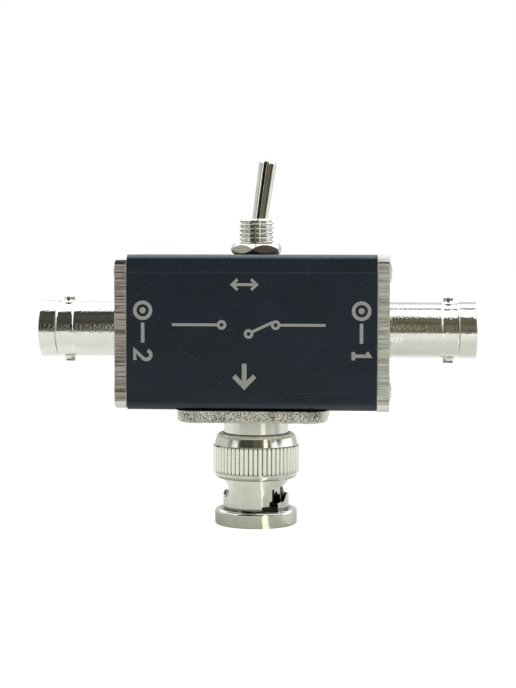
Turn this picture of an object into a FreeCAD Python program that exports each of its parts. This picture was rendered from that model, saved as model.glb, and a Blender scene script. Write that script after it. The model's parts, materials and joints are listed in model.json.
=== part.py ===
# Two-way coaxial antenna switch: a bayonet plug below, a bayonet socket at each end and a miniature
# toggle switch on top of a square extruded housing. Millimetres, +Z up. The origin is on the plug's
# axis in its mouth plane. +X points out of socket 1, -X out of socket 2, -Y out of the front face.
import FreeCAD, Part
import math
import os
from FreeCAD import Vector

# Heights of the stack, from the plug's mouth up
FLANGE_BOTTOM = 18.3
FLANGE_THICKNESS = 2.1
HOUSING_BOTTOM = FLANGE_BOTTOM + FLANGE_THICKNESS

# Housing, an extrusion along X
HOUSING_SIDE = 25.4
HOUSING_LENGTH = 40.7
HOUSING_WALL = 1.7
HOUSING_EDGE_RADIUS = 1.3
LAND_MARGIN = 3.0
LAND_STEP = 0.15
LAND_SLOPE = 0.2
SCREW_OFFSET = 9.7
SCREW_BOSS_RADIUS = 2.4
HOUSING_TOP = HOUSING_BOTTOM + HOUSING_SIDE
AXIS_Z = HOUSING_BOTTOM + HOUSING_SIDE / 2

# End plates; they are sawn by hand and differ a little in height
PLATE_THICKNESS = 2.1
PLATE_WIDTH = 25.0
PLATE_CORNER_RADIUS = 1.4
PLATE_EDGE_ROUND = 0.3
PLATE_SPAN = {1: (20.25, 45.9), 2: (20.6, 44.9)}
PLATE_FACE_X = HOUSING_LENGTH / 2 + PLATE_THICKNESS

# M2 plate screws with raised countersunk heads, and M3 flange screws of the same form
PLATE_SCREW = {"shank": 0.95, "head": 1.8, "sink": 0.85, "rise": 0.4, "length": 8.0}
FLANGE_SCREW = {"shank": 1.45, "head": 2.75, "sink": 1.3, "rise": 0.28, "length": 6.1}
THREAD_CLEARANCE = 0.05
RECESS_DEPTH = 0.7

# Sockets: distances marked "back" are measured from the mouth towards the plate
SOCKET_REACH = {1: 14.65, 2: 14.17}
SOCKET_RADIUS = 4.8
SOCKET_BORE = 4.08
SOCKET_FRONT_BACK = 2.85
SOCKET_WAIST_BACK = 5.95
SOCKET_WAIST_RADIUS = 4.6
SOCKET_WAIST_RUNOUT = 0.4
SOCKET_REAR_RADIUS = 4.7
SOCKET_BORE_DEPTH = 8.6
LUG_BACK = 4.6
LUG_RADIUS = 0.97
LUG_TOP = 5.53
LUG_FILLET = 0.5
SOCKET_TAIL_RADIUS = 3.95
SOCKET_TAIL_BORE = 3.3
SOCKET_POST_RADIUS = 2.4
SOCKET_POST_BACK = 1.8
SOCKET_CONTACT_RADIUS = 1.05
SOCKET_CONTACT_BACK = 2.0
SOCKET_CONTACT_TAIL = 2.65
SOCKET_NUT_FLATS = 11.0
SOCKET_NUT_THICKNESS = 2.0
SOCKET_WASHER = {"inner": 4.05, "outer": 6.4, "thickness": 0.6, "teeth": 10}
SOCKET_TAIL_LENGTH = PLATE_THICKNESS + SOCKET_WASHER["thickness"] + SOCKET_NUT_THICKNESS + 0.8

# Toggle switch: M6 x 0.75 bushing, bat lever
TOGGLE_NUT_FLATS = 8.0
TOGGLE_NUT_THICKNESS = 1.8
TOGGLE_NUT_TURN = 25.0
INNER_NUT_THICKNESS = 1.15
TOGGLE_WASHER = {"inner": 2.97, "outer": 4.4, "thickness": 0.45, "teeth": 8}
BUSHING_RADIUS = 2.9
BUSHING_ROOT = 2.52
THREAD_PITCH = 0.75
BUSHING_RISE = 6.0
LEVER_TILT = 8.0
LEVER_TRAVEL = 16.0
PIVOT_BELOW_BUSHING = 4.1
LEVER_LENGTH = 14.2
LEVER_BASE_RADIUS = 1.3
LEVER_TIP_RADIUS = 1.5
LEVER_BALL_RADIUS = 1.75
LEVER_PIN_RADIUS = 0.5
LEVER_PIN_REACH = 2.2
BALL_CLEARANCE = 0.05
THROAT_RADIUS = 1.55
PLUNGER_REACH = 7.5
ROCKER_TILT = 9.0
FRAME_THICKNESS = 0.8
TOGGLE_BODY = (13.2, 7.9, 9.0)
TERMINAL_PITCH = 4.7
ROCKER_HALF_LENGTH = 4.9

BUSHING_TOP = HOUSING_TOP + BUSHING_RISE
PIVOT_Z = BUSHING_TOP - PIVOT_BELOW_BUSHING
INNER_WALL_Z = HOUSING_TOP - HOUSING_WALL
INNER_NUT_TOP = INNER_WALL_Z - TOGGLE_WASHER["thickness"]
FRAME_TOP = INNER_NUT_TOP - INNER_NUT_THICKNESS
FRAME_BOTTOM = FRAME_TOP - FRAME_THICKNESS
BODY_BOTTOM = FRAME_BOTTOM - TOGGLE_BODY[2]
BODY_FLOOR = BODY_BOTTOM + 3.5
ROCKER_Z = FRAME_BOTTOM - 2.1
TERMINAL_HOLE_Z = BODY_BOTTOM - 2.8
TERMINAL_BOTTOM = TERMINAL_HOLE_Z - 1.2

# Plug
FLANGE_SIDE = 24.9
FLANGE_CORNER_RADIUS = 3.0
FLANGE_SCREW_OFFSET = 9.15
NECK_RADIUS = 5.5
SPIGOT_RADIUS = 5.9
SPIGOT_RISE = 1.2
SHOULDER_BOTTOM = 11.12
SHOULDER_TOP = 12.3
SHOULDER_RADIUS = 6.25
SHELL_TAIL_RADIUS = 4.0
SHELL_BORE = 3.53
CONTACT_TIP_Z = 2.95
CONTACT_RADIUS = 4.06
CONTACT_BORE = 3.5
CONTACT_SLIT = 0.48
CONTACT_TURN = 4.7
PLUG_INSULATOR_FRONT = 9.2
PIN_RADIUS = 0.675
PIN_TIP_Z = 5.1
GASKET_HEIGHT = 0.92

# Coupling nut
MOUTH_RADIUS = 4.9
MOUTH_RING_RADIUS = 6.98
MOUTH_RING_HEIGHT = 2.65
SLEEVE_RADIUS = 5.58
SLEEVE_BORE = 5.1
WIDE_BOTTOM = 7.9
WIDE_RADIUS = 7.0
KNURL_BOTTOM = 8.87
KNURL_TOP = 13.65
KNURL_RADIUS = 7.4
KNURL_DEPTH = 0.25
KNURL_RIDGES = 58
NUT_TOP = 15.58
NUT_OPENING = 5.85
NUT_OPENING_CHAMFER = 0.3
NUT_LIP = 0.68
NUT_CHAMBER = 6.35
LUG_PATH_RADIUS = 5.7
COUPLING_TRAVEL = 0.9
THRUST_WASHER_THICKNESS = 0.48
SEAT_GAP = 0.02

# Bayonet slot outlines, (degrees from -Y towards +X, height); the second slot is half a turn on
ENTRY_ANGLES = (14.0, 45.5)
SLOT_UPPER_ENTRY = [(14, 4.7), (15.2, 5.2), (17.2, 5.57), (20.5, 5.86), (24.5, 6.06), (30, 6.23), (38, 6.42),
                    (45.5, 6.58)]
SLOT_UPPER_RAMP = [(45.5, 6.58), (53, 6.74), (60, 6.92), (69, 7.17), (78, 7.42), (88, 7.57), (100, 7.6),
                   (114, 7.43)]
SLOT_LOWER_RAMP = [(45.5, 3.7), (50, 3.87), (57, 4.02), (63, 4.28), (67, 4.75), (70.5, 5.25), (75, 5.5),
                   (80, 5.45), (88, 5.1), (97, 4.8), (105, 4.7), (114, 4.67)]
POCKET_ANGLE = 114.0
POCKET_Z = 6.05
POCKET_RADIUS = 1.38

WIRE_RADIUS = 0.45
UP = Vector(0, 0, 1)


def outline_edges(corners, place):
    """Edges of a closed outline. A corner is (a, b), (a, b, radius) where a tangent arc rounds it,
    or (a, b, "via") for a point that an arc between its two neighbours passes through."""
    count = len(corners)
    flat = [Vector(corner[0], corner[1], 0) for corner in corners]
    marks = [corner[2] if len(corner) > 2 else 0 for corner in corners]
    starts, ends, edges = [], [], []
    for i in range(count):
        if marks[i] in (0, "via"):
            starts.append(flat[i])
            ends.append(flat[i])
            continue
        before = (flat[i - 1] - flat[i]).normalize()
        after = (flat[(i + 1) % count] - flat[i]).normalize()
        half = before.getAngle(after) / 2
        reach = marks[i] / math.tan(half)
        inward = (before + after).normalize()
        starts.append(flat[i] + before * reach)
        ends.append(flat[i] + after * reach)
        middle = flat[i] + inward * (marks[i] / math.sin(half) - marks[i])
        edges.append(Part.Arc(place(starts[i]), place(middle), place(ends[i])).toShape())
    for i in range(count):
        following = (i + 1) % count
        if marks[i] == "via":
            edges.append(Part.Arc(place(ends[i - 1]), place(flat[i]), place(starts[following])).toShape())
        elif marks[following] != "via" and (starts[following] - ends[i]).Length > 1e-6:
            edges.append(Part.LineSegment(place(ends[i]), place(starts[following])).toShape())
    return edges


def outline_face(corners, place):
    """Flat face inside a closed outline."""
    return Part.Face(Part.Wire(Part.__sortEdges__(outline_edges(corners, place))))


def turned(corners):
    """Solid turned about Z from an outline of (radius, height) corners."""
    face = outline_face(corners, lambda p: Vector(p.x, 0, p.y))
    return face.revolve(Vector(0, 0, 0), UP, 360)


def bar(corners, start, length):
    """Bar along X from an outline of (y, z) corners."""
    face = outline_face(corners, lambda p: Vector(start, p.x, p.y))
    return face.extrude(Vector(length, 0, 0))


def slab(corners, bottom, height):
    """Plate along Z from an outline of (x, y) corners."""
    face = outline_face(corners, lambda p: Vector(p.x, p.y, bottom))
    return face.extrude(Vector(0, 0, height))


def rod(radius, bottom, top, x=0.0, y=0.0):
    """Cylinder along Z."""
    return Part.makeCylinder(radius, top - bottom, Vector(x, y, bottom), UP)


def block(x_range, y_range, z_range):
    """Box between two values on each axis."""
    size = [pair[1] - pair[0] for pair in (x_range, y_range, z_range)]
    return Part.makeBox(*size, Vector(x_range[0], y_range[0], z_range[0]))


def rectangle(half_a, low_b, high_b, radius=0.0):
    """Corners of a rectangle centred on a = 0."""
    pairs = [(-half_a, low_b), (half_a, low_b), (half_a, high_b), (-half_a, high_b)]
    return [(a, b, radius) for a, b in pairs]


def four_ways(offset):
    """The four places (+-offset, +-offset)."""
    return [(a * offset, b * offset) for a in (-1, 1) for b in (-1, 1)]


def outward(port, shape):
    """Turns a piece built along +Z onto the port's axis, with height 0 on the plate's outer face."""
    side = 1 if port == 1 else -1
    placed = shape.copy()
    placed.rotate(Vector(0, 0, 0), Vector(0, 1, 0), 90 * side)
    placed.translate(Vector(side * PLATE_FACE_X, 0, AXIS_Z))
    return placed


def hex_nut(across_flats, bottom, thickness, bore, turn=0.0, steepness=0.5):
    """Hexagonal nut about Z. The chamfers at both faces drop by `steepness` for each millimetre outwards."""
    corner = across_flats / math.sqrt(3)
    points = [(corner * math.cos(math.radians(60 * i + turn)), corner * math.sin(math.radians(60 * i + turn)))
              for i in range(6)]
    rim = across_flats / 2 - 0.2
    drop = (corner - rim) * steepness
    limit = turned([(0, bottom), (rim, bottom), (corner, bottom + drop), (corner, bottom + thickness - drop),
                    (rim, bottom + thickness), (0, bottom + thickness)])
    return slab(points, bottom, thickness).common(limit).cut(rod(bore, bottom - 1, bottom + thickness + 1))


def tooth_washer(spec, bottom):
    """Lock washer with notches between its inner teeth."""
    top = bottom + spec["thickness"]
    ring = rod(spec["outer"], bottom, top).cut(rod(spec["inner"], bottom - 1, top + 1))
    reach = spec["inner"] + (spec["outer"] - spec["inner"]) * 0.55
    notch = block((0, reach), (-0.25, 0.25), (bottom - 1, top + 1))
    notches = []
    for i in range(spec["teeth"]):
        turned_notch = notch.copy()
        turned_notch.rotate(Vector(0, 0, 0), UP, 360.0 * i / spec["teeth"])
        notches.append(turned_notch)
    return ring.cut(notches)


def raised_screw(spec):
    """Screw along +Z with its head's rim at height 0 and a cross recess in the dome."""
    shank, head, rise = spec["shank"], spec["head"], spec["rise"]
    body = turned([(0, -spec["length"]), (shank - 0.2, -spec["length"]), (shank, -spec["length"] + 0.3),
                   (shank, -spec["sink"]), (head, 0), (head * 0.6, rise * 0.78, "via"), (0, rise)])
    arm = head * 0.62
    half = head * 0.11
    bottom = rise - RECESS_DEPTH
    cross = block((-arm, arm), (-half, half), (bottom, 2)).fuse(block((-half, half), (-arm, arm), (bottom, 2)))
    return body.cut(cross)


def countersink(spec, depth):
    """Cutter for a raised screw that enters a plate at height 0."""
    clear = spec["shank"] + 0.12
    head = spec["head"] + 0.03
    return turned([(0, -depth - 1), (clear, -depth - 1), (clear, -spec["sink"]), (head, 0), (head, 1), (0, 1)])


def housing():
    """Square tube with raised front and back lands, corner screw channels and its panel holes."""
    half = HOUSING_SIDE / 2
    edge = half - LAND_STEP
    low_land, high_land = HOUSING_BOTTOM + LAND_MARGIN, HOUSING_TOP - LAND_MARGIN
    right = [(edge, HOUSING_BOTTOM, HOUSING_EDGE_RADIUS), (edge, low_land - LAND_SLOPE), (half, low_land),
             (half, high_land), (edge, high_land + LAND_SLOPE), (edge, HOUSING_TOP, HOUSING_EDGE_RADIUS)]
    left = [(-corner[0],) + corner[1:] for corner in reversed(right)]
    start = -HOUSING_LENGTH / 2
    inner = half - HOUSING_WALL
    cavity = bar(rectangle(inner, AXIS_Z - inner, AXIS_Z + inner, 0.5), start, HOUSING_LENGTH)
    along = Vector(1, 0, 0)
    places = [Vector(start, y, AXIS_Z + z) for y, z in four_ways(SCREW_OFFSET)]
    bosses = [Part.makeCylinder(SCREW_BOSS_RADIUS, HOUSING_LENGTH, place, along) for place in places]
    channel_radius = PLATE_SCREW["shank"] + THREAD_CLEARANCE
    channels = [Part.makeCylinder(channel_radius, HOUSING_LENGTH, place, along) for place in places]
    shape = bar(right + left, start, HOUSING_LENGTH).cut(cavity.cut(bosses))
    holes = [rod(BUSHING_RADIUS + 0.15, AXIS_Z, HOUSING_TOP + 1),
             rod(SPIGOT_RADIUS + 0.1, HOUSING_BOTTOM - 1, AXIS_Z)]
    tapped = FLANGE_SCREW["shank"] + THREAD_CLEARANCE
    holes += [rod(tapped, HOUSING_BOTTOM - 1, HOUSING_BOTTOM + 4.8, x, y)
              for x, y in four_ways(FLANGE_SCREW_OFFSET)]
    return shape.cut(channels + holes)


def end_plate(port):
    """Rounded plate with a socket hole and four countersunk holes."""
    low, high = PLATE_SPAN[port]
    side = 1 if port == 1 else -1
    start = min(side * HOUSING_LENGTH / 2, side * PLATE_FACE_X)
    outline = rectangle(PLATE_WIDTH / 2, low, high, PLATE_CORNER_RADIUS)
    plate = bar(outline, start, PLATE_THICKNESS)
    flat_ends = (start, start + PLATE_THICKNESS)
    rim = [edge for edge in plate.Edges
           if any(all(abs(v.X - x) < 1e-6 for v in edge.Vertexes) for x in flat_ends)]
    plate = plate.makeFillet(PLATE_EDGE_ROUND, rim)
    cutters = [outward(port, rod(SOCKET_TAIL_RADIUS + 0.1, -PLATE_THICKNESS - 1, 1))]
    for y, z in four_ways(SCREW_OFFSET):
        sink = outward(port, countersink(PLATE_SCREW, PLATE_THICKNESS))
        sink.translate(Vector(0, y, z))
        cutters.append(sink)
    return plate.cut(cutters)


def plate_screws(port):
    """The four screws that hold one end plate."""
    screws = []
    for y, z in four_ways(SCREW_OFFSET):
        screw = outward(port, raised_screw(PLATE_SCREW))
        screw.translate(Vector(0, y, z))
        screws.append(screw)
    return Part.makeCompound(screws)


def lug_pair(height):
    """Two bayonet lugs across the socket, with a fillet at each root."""
    foot = SOCKET_BORE + 0.07
    root = SOCKET_WAIST_RADIUS - 0.1
    corners = [(0, foot), (LUG_RADIUS + LUG_FILLET, foot), (LUG_RADIUS + LUG_FILLET, root),
               (LUG_RADIUS + LUG_FILLET * 0.3, root + LUG_FILLET * 0.42, "via"),
               (LUG_RADIUS, root + LUG_FILLET * 1.2), (LUG_RADIUS, LUG_TOP, 0.12), (0, LUG_TOP)]
    lugs = []
    for turn in (90, -90):
        lug = turned(corners)
        lug.rotate(Vector(0, 0, 0), Vector(0, 1, 0), turn)
        lug.translate(Vector(0, 0, height))
        lugs.append(lug)
    return lugs


def runout(end, run, radius):
    """Corners of the concave arc that climbs from the socket's waist to a radius and ends at a height, having
    left the waist `run` below it (above it if negative)."""
    rise = radius - SOCKET_WAIST_RADIUS
    bend = (rise ** 2 + run ** 2) / (2 * rise)
    half = math.asin(abs(run) / bend) / 2
    middle = end - run + math.copysign(bend * math.sin(half), run)
    return [(SOCKET_WAIST_RADIUS, end - run),
            (SOCKET_WAIST_RADIUS + bend * (1 - math.cos(half)), middle, "via"), (radius, end)]


def socket_shell(port):
    """Barrel with a flat-bottomed waist, two lugs and a threaded tail that passes through the end plate."""
    mouth = SOCKET_REACH[port]
    front, waist = mouth - SOCKET_FRONT_BACK, mouth - SOCKET_WAIST_BACK
    tail = -SOCKET_TAIL_LENGTH
    barrel = turned([(SOCKET_BORE + 0.2, mouth), (SOCKET_RADIUS, mouth, 0.2),
                     *reversed(runout(front, SOCKET_WAIST_RUNOUT, SOCKET_RADIUS)),
                     *runout(waist, -SOCKET_WAIST_RUNOUT, SOCKET_REAR_RADIUS),
                     (SOCKET_REAR_RADIUS, 0), (SOCKET_TAIL_RADIUS, 0), (SOCKET_TAIL_RADIUS, tail + 0.3),
                     (SOCKET_TAIL_RADIUS - 0.3, tail), (SOCKET_TAIL_BORE, tail),
                     (SOCKET_TAIL_BORE, mouth - SOCKET_BORE_DEPTH), (SOCKET_BORE, mouth - SOCKET_BORE_DEPTH),
                     (SOCKET_BORE, mouth - 0.2)])
    return outward(port, barrel.fuse(lug_pair(mouth - LUG_BACK)))


def socket_insulator(port):
    """Insulator with a base in the shell and a post around the contact."""
    mouth = SOCKET_REACH[port]
    seat = mouth - SOCKET_BORE_DEPTH
    hole = SOCKET_CONTACT_RADIUS + 0.03
    base, neck = SOCKET_BORE - 0.03, SOCKET_TAIL_BORE - 0.03
    tail = -SOCKET_TAIL_LENGTH
    shape = turned([(hole, tail), (neck, tail), (neck, seat), (base, seat), (base, seat + 1.5),
                    (SOCKET_POST_RADIUS, seat + 1.5, 0.3), (SOCKET_POST_RADIUS, mouth - SOCKET_POST_BACK, 0.2),
                    (hole + 0.15, mouth - SOCKET_POST_BACK), (hole, mouth - SOCKET_POST_BACK - 0.2)])
    return outward(port, shape)


def socket_contact(port):
    """Slotted centre contact with a solder cup at its inner end."""
    front = SOCKET_REACH[port] - SOCKET_CONTACT_BACK
    back = -SOCKET_TAIL_LENGTH - SOCKET_CONTACT_TAIL
    shape = turned([(0, back), (SOCKET_CONTACT_RADIUS, back), (SOCKET_CONTACT_RADIUS, front, 0.15), (0, front)])
    shape = shape.cut([rod(0.7, front - 4.5, front + 1), rod(0.6, back - 1, back + 2.0),
                       block((-2, 2), (-0.12, 0.12), (front - 3.5, front + 1))])
    return outward(port, shape)


def socket_lock_washer(port):
    return outward(port, tooth_washer(SOCKET_WASHER, -PLATE_THICKNESS - SOCKET_WASHER["thickness"]))


def socket_nut(port):
    bottom = -PLATE_THICKNESS - SOCKET_WASHER["thickness"] - SOCKET_NUT_THICKNESS
    bore = SOCKET_TAIL_RADIUS + THREAD_CLEARANCE
    return outward(port, hex_nut(SOCKET_NUT_FLATS, bottom, SOCKET_NUT_THICKNESS, bore))


def pivot_pin(radius, reach):
    """Cross pin along Y through the lever's pivot."""
    return Part.makeCylinder(radius, 2 * reach, Vector(0, -reach, 0), Vector(0, 1, 0))


def toggle_bushing():
    """Threaded bushing: ridges at the thread's pitch, a ball seat, slots for the lever's cross pin and
    a flared mouth inside."""
    lip, plate_hole = 2.7, 2.6
    shoulder_end = FRAME_TOP + 0.4
    corners = [(2.0, FRAME_BOTTOM - 0.4), (lip, FRAME_BOTTOM - 0.4), (lip, FRAME_BOTTOM),
               (plate_hole, FRAME_BOTTOM), (plate_hole, FRAME_TOP), (BUSHING_RADIUS, FRAME_TOP),
               (BUSHING_RADIUS, shoulder_end)]
    ridges = int((BUSHING_TOP - 0.3 - shoulder_end) / THREAD_PITCH)
    for i in range(ridges):
        ridge = BUSHING_TOP - 0.3 - (ridges - i) * THREAD_PITCH
        corners += [(BUSHING_ROOT, ridge + THREAD_PITCH * 0.45), (BUSHING_RADIUS, ridge + THREAD_PITCH * 0.9)]
        corners += [(BUSHING_RADIUS, ridge + THREAD_PITCH)]
    seat_top = PIVOT_Z + 1.0
    seat = LEVER_BALL_RADIUS + BALL_CLEARANCE
    corners += [(BUSHING_ROOT, BUSHING_TOP), (2.1, BUSHING_TOP), (THROAT_RADIUS, seat_top + 0.2),
                (THROAT_RADIUS, seat_top), (seat, seat_top), (seat, PIVOT_Z - 2.5), (2.0, PIVOT_Z - 2.7)]
    pin_slot = pivot_pin(LEVER_PIN_RADIUS + BALL_CLEARANCE, LEVER_PIN_REACH + 0.1)
    pin_slot.translate(Vector(0, 0, PIVOT_Z))
    half = LEVER_PIN_RADIUS + BALL_CLEARANCE
    reach = LEVER_PIN_REACH + 0.1
    way_in = block((-half, half), (-reach, reach), (FRAME_BOTTOM - 1, PIVOT_Z))
    return turned(corners).cut([pin_slot, way_in])


def toggle_frame():
    """Steel bracket over the switch body: a top plate and two legs."""
    length, width, _ = TOGGLE_BODY
    leg = 0.5
    half = length / 2 + leg
    plate = block((-half, half), (-width / 2, width / 2), (FRAME_BOTTOM, FRAME_TOP))
    plate = plate.cut(rod(2.63, FRAME_BOTTOM - 1, FRAME_TOP + 1))
    legs = [block((x, x + leg), (-2.5, 2.5), (BODY_BOTTOM + 2, FRAME_BOTTOM)) for x in (-half, half - leg)]
    return plate.fuse(legs).removeSplitter()


def toggle_body():
    """Moulded case, open at the top, with three terminal slots in its floor."""
    length, width, _ = TOGGLE_BODY
    outline = [(-length / 2, -width / 2, 0.5), (length / 2, -width / 2, 0.5),
               (length / 2, width / 2, 0.5), (-length / 2, width / 2, 0.5)]
    case = slab(outline, BODY_BOTTOM, FRAME_BOTTOM - BODY_BOTTOM)
    cutters = [block((-5.6, 5.6), (-2.75, 2.75), (BODY_FLOOR, FRAME_BOTTOM + 1))]
    for x in (-TERMINAL_PITCH, 0, TERMINAL_PITCH):
        cutters.append(block((x - 0.42, x + 0.42), (-0.82, 0.82), (BODY_BOTTOM - 1, BODY_FLOOR + 1)))
    return case.cut(cutters)


def terminal(x, top):
    """Flat terminal pin with a wire hole near its lower end."""
    pin = block((x - 0.4, x + 0.4), (-0.8, 0.8), (TERMINAL_BOTTOM, top))
    hole = Part.makeCylinder(WIRE_RADIUS + 0.05, 2, Vector(x - 1, 0, TERMINAL_HOLE_Z), Vector(1, 0, 0))
    return pin.cut(hole)


def terminal_side(side):
    """Left (-1) or right (1) terminal with the button that the rocker closes on."""
    x = side * TERMINAL_PITCH
    button_top = ROCKER_Z - 0.76
    return terminal(x, button_top - 0.5).fuse(rod(0.85, button_top - 0.5, button_top, x)).removeSplitter()


def terminal_common():
    """Middle terminal whose grooved head carries the rocker."""
    head = block((-0.9, 0.9), (-1.2, 1.2), (ROCKER_Z - 1.1, ROCKER_Z - 0.1))
    groove = Part.makeCylinder(0.55, 4, Vector(0, -2, ROCKER_Z), Vector(0, 1, 0))
    return terminal(0, ROCKER_Z - 1.1).fuse(head).cut(groove).removeSplitter()


def contact_rocker():
    """Rocker strip with its pivot rib, tilted the way the lever holds it at rest."""
    strip = block((-ROCKER_HALF_LENGTH, ROCKER_HALF_LENGTH), (-1.2, 1.2), (ROCKER_Z + 0.1, ROCKER_Z + 0.5))
    rib = Part.makeCylinder(0.5, 2.4, Vector(0, -1.2, ROCKER_Z), Vector(0, 1, 0))
    rocker = strip.fuse(rib).removeSplitter()
    rocker.rotate(Vector(0, 0, ROCKER_Z), Vector(0, 1, 0), -ROCKER_TILT)
    return rocker


def on_lever(shape):
    """Moves a piece built along +Z about the origin onto the tilted lever's pivot."""
    placed = shape.copy()
    placed.rotate(Vector(0, 0, 0), Vector(0, 1, 0), LEVER_TILT)
    placed.translate(Vector(0, 0, PIVOT_Z))
    return placed


def toggle_lever():
    """Bat lever with a ball and a cross pin at the pivot and a hollow lower arm."""
    arm_end = -4.9
    base = LEVER_BASE_RADIUS - 0.06
    bat = turned([(0, 0), (base, 0), (LEVER_TIP_RADIUS, LEVER_LENGTH, 0.75), (0, LEVER_LENGTH)])
    arm = rod(0.9, arm_end, 0)
    ball = Part.makeSphere(LEVER_BALL_RADIUS)
    pin = pivot_pin(LEVER_PIN_RADIUS, LEVER_PIN_REACH)
    return on_lever(bat.fuse([arm, ball, pin]).cut(rod(0.6, arm_end - 1, -1.0)).removeSplitter())


def toggle_plunger():
    """Plunger that the lever's spring presses on the rocker."""
    top = -3.9
    return on_lever(turned([(0, -PLUNGER_REACH), (0.55, -PLUNGER_REACH, 0.4), (0.55, top), (0, top)]))


def toggle_spring():
    """Coil spring inside the lever's lower arm, above the plunger."""
    low, high = -3.8, -1.1
    coil_radius, wire_radius, pitch = 0.42, 0.08, 0.45
    helix = Part.makeHelix(pitch, high - low, coil_radius)
    section = Part.Wire(Part.makeCircle(wire_radius, Vector(coil_radius, 0, 0), Vector(0, 1, 0)))
    coil = Part.Wire(helix.Edges).makePipeShell([section], True, True)
    coil.translate(Vector(0, 0, low))
    return on_lever(coil)


def plug_flange():
    """Square flange with the plug's neck below and a locating spigot above."""
    half = FLANGE_SIDE / 2
    square = [(a * half, b * half, FLANGE_CORNER_RADIUS) for a, b in ((-1, -1), (1, -1), (1, 1), (-1, 1))]
    plate = slab(square, FLANGE_BOTTOM, FLANGE_THICKNESS)
    neck = turned([(SHELL_TAIL_RADIUS, SHOULDER_TOP), (NECK_RADIUS, SHOULDER_TOP), (NECK_RADIUS, FLANGE_BOTTOM),
                   (NECK_RADIUS + 0.4, FLANGE_BOTTOM + 0.2), (SPIGOT_RADIUS, FLANGE_BOTTOM + 1),
                   (SPIGOT_RADIUS, HOUSING_BOTTOM + SPIGOT_RISE, 0.2), (0, HOUSING_BOTTOM + SPIGOT_RISE),
                   (0, SHOULDER_TOP + 3), (SHELL_TAIL_RADIUS, SHOULDER_TOP + 3)])
    bores = [rod(SHELL_TAIL_RADIUS + THREAD_CLEARANCE, SHOULDER_TOP - 1, FLANGE_BOTTOM + 1.1),
             rod(3.0, SHOULDER_TOP, HOUSING_BOTTOM + SPIGOT_RISE + 1)]
    for x, y in four_ways(FLANGE_SCREW_OFFSET):
        sink = countersink(FLANGE_SCREW, FLANGE_THICKNESS)
        sink.rotate(Vector(0, 0, 0), Vector(1, 0, 0), 180)
        sink.translate(Vector(x, y, FLANGE_BOTTOM))
        bores.append(sink)
    return plate.fuse(neck).cut(bores)


def flange_screws():
    """The four screws that hold the flange under the housing."""
    screws = []
    for x, y in four_ways(FLANGE_SCREW_OFFSET):
        screw = raised_screw(FLANGE_SCREW)
        screw.rotate(Vector(0, 0, 0), Vector(1, 0, 0), 180)
        screw.translate(Vector(x, y, FLANGE_BOTTOM))
        screws.append(screw)
    return Part.makeCompound(screws)


def plug_shell():
    """Shoulder that traps the coupling nut, with a threaded tail in the neck."""
    tail_top = FLANGE_BOTTOM + 0.9
    return turned([(SHELL_BORE, SHOULDER_BOTTOM), (SHOULDER_RADIUS, SHOULDER_BOTTOM),
                   (SHOULDER_RADIUS, SHOULDER_TOP), (SHELL_TAIL_RADIUS, SHOULDER_TOP),
                   (SHELL_TAIL_RADIUS, tail_top), (SHELL_BORE, tail_top)])


def plug_outer_contact():
    """Springy outer contact: a tube slit into four fingers, with a thinner root in the shell."""
    root, step = SHELL_BORE - 0.03, PLUG_INSULATOR_FRONT + 0.6
    tube = turned([(CONTACT_BORE, CONTACT_TIP_Z, 0.15), (CONTACT_RADIUS, CONTACT_TIP_Z, 0.3),
                   (CONTACT_RADIUS, SHOULDER_BOTTOM - SEAT_GAP), (root, SHOULDER_BOTTOM - SEAT_GAP),
                   (root, SHOULDER_BOTTOM + 6), (2.9, SHOULDER_BOTTOM + 6), (2.9, step), (CONTACT_BORE, step)])
    slits = []
    for turn in (CONTACT_TURN - 45, CONTACT_TURN + 45):
        slit = block((-6, 6), (-CONTACT_SLIT / 2, CONTACT_SLIT / 2), (CONTACT_TIP_Z - 1, step - 0.8))
        slit.rotate(Vector(0, 0, 0), UP, turn)
        slits.append(slit)
    return tube.cut(slits)


def plug_insulator():
    """Insulator between the plug's outer contact and its pin."""
    hole, step = 0.95, PLUG_INSULATOR_FRONT + 0.6
    top = HOUSING_BOTTOM + SPIGOT_RISE + 0.4
    front = PLUG_INSULATOR_FRONT
    return turned([(hole, front), (CONTACT_BORE - 0.03, front), (CONTACT_BORE - 0.03, step), (2.87, step),
                   (2.87, top), (hole, top)])


def plug_pin():
    """Centre pin with a solder cup at its upper end."""
    insulator_top = HOUSING_BOTTOM + SPIGOT_RISE + 0.4
    cup_top = insulator_top + 2.4
    shape = turned([(0, PIN_TIP_Z), (PIN_RADIUS, PIN_TIP_Z, 0.45), (PIN_RADIUS, PLUG_INSULATOR_FRONT),
                    (0.92, PLUG_INSULATOR_FRONT), (0.92, insulator_top), (1.1, insulator_top),
                    (1.1, cup_top), (0, cup_top)])
    return shape.cut(rod(WIRE_RADIUS + 0.1, cup_top - 2.0, cup_top + 1))


def plug_gasket():
    """Rubber ring that the mating socket's rim seals on."""
    bottom = SHOULDER_BOTTOM - GASKET_HEIGHT
    corners = rectangle(0.39, bottom, SHOULDER_BOTTOM, 0.12)
    return turned([(a + CONTACT_RADIUS + 0.41, b, radius) for a, b, radius in corners])


def thrust_washer():
    """Flat ring between the wave spring and the coupling nut's rear lip."""
    top = NUT_TOP - NUT_LIP - SEAT_GAP
    bottom = top - THRUST_WASHER_THICKNESS
    inner, outer = NECK_RADIUS + 0.1, NUT_CHAMBER - 0.1
    return turned([(inner, bottom), (outer, bottom), (outer, top), (inner, top)])


def around(radius, angle, height):
    """Point on a cylinder about Z, its angle counted from -Y towards +X."""
    return Vector(radius * math.sin(math.radians(angle)), -radius * math.cos(math.radians(angle)), height)


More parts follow.
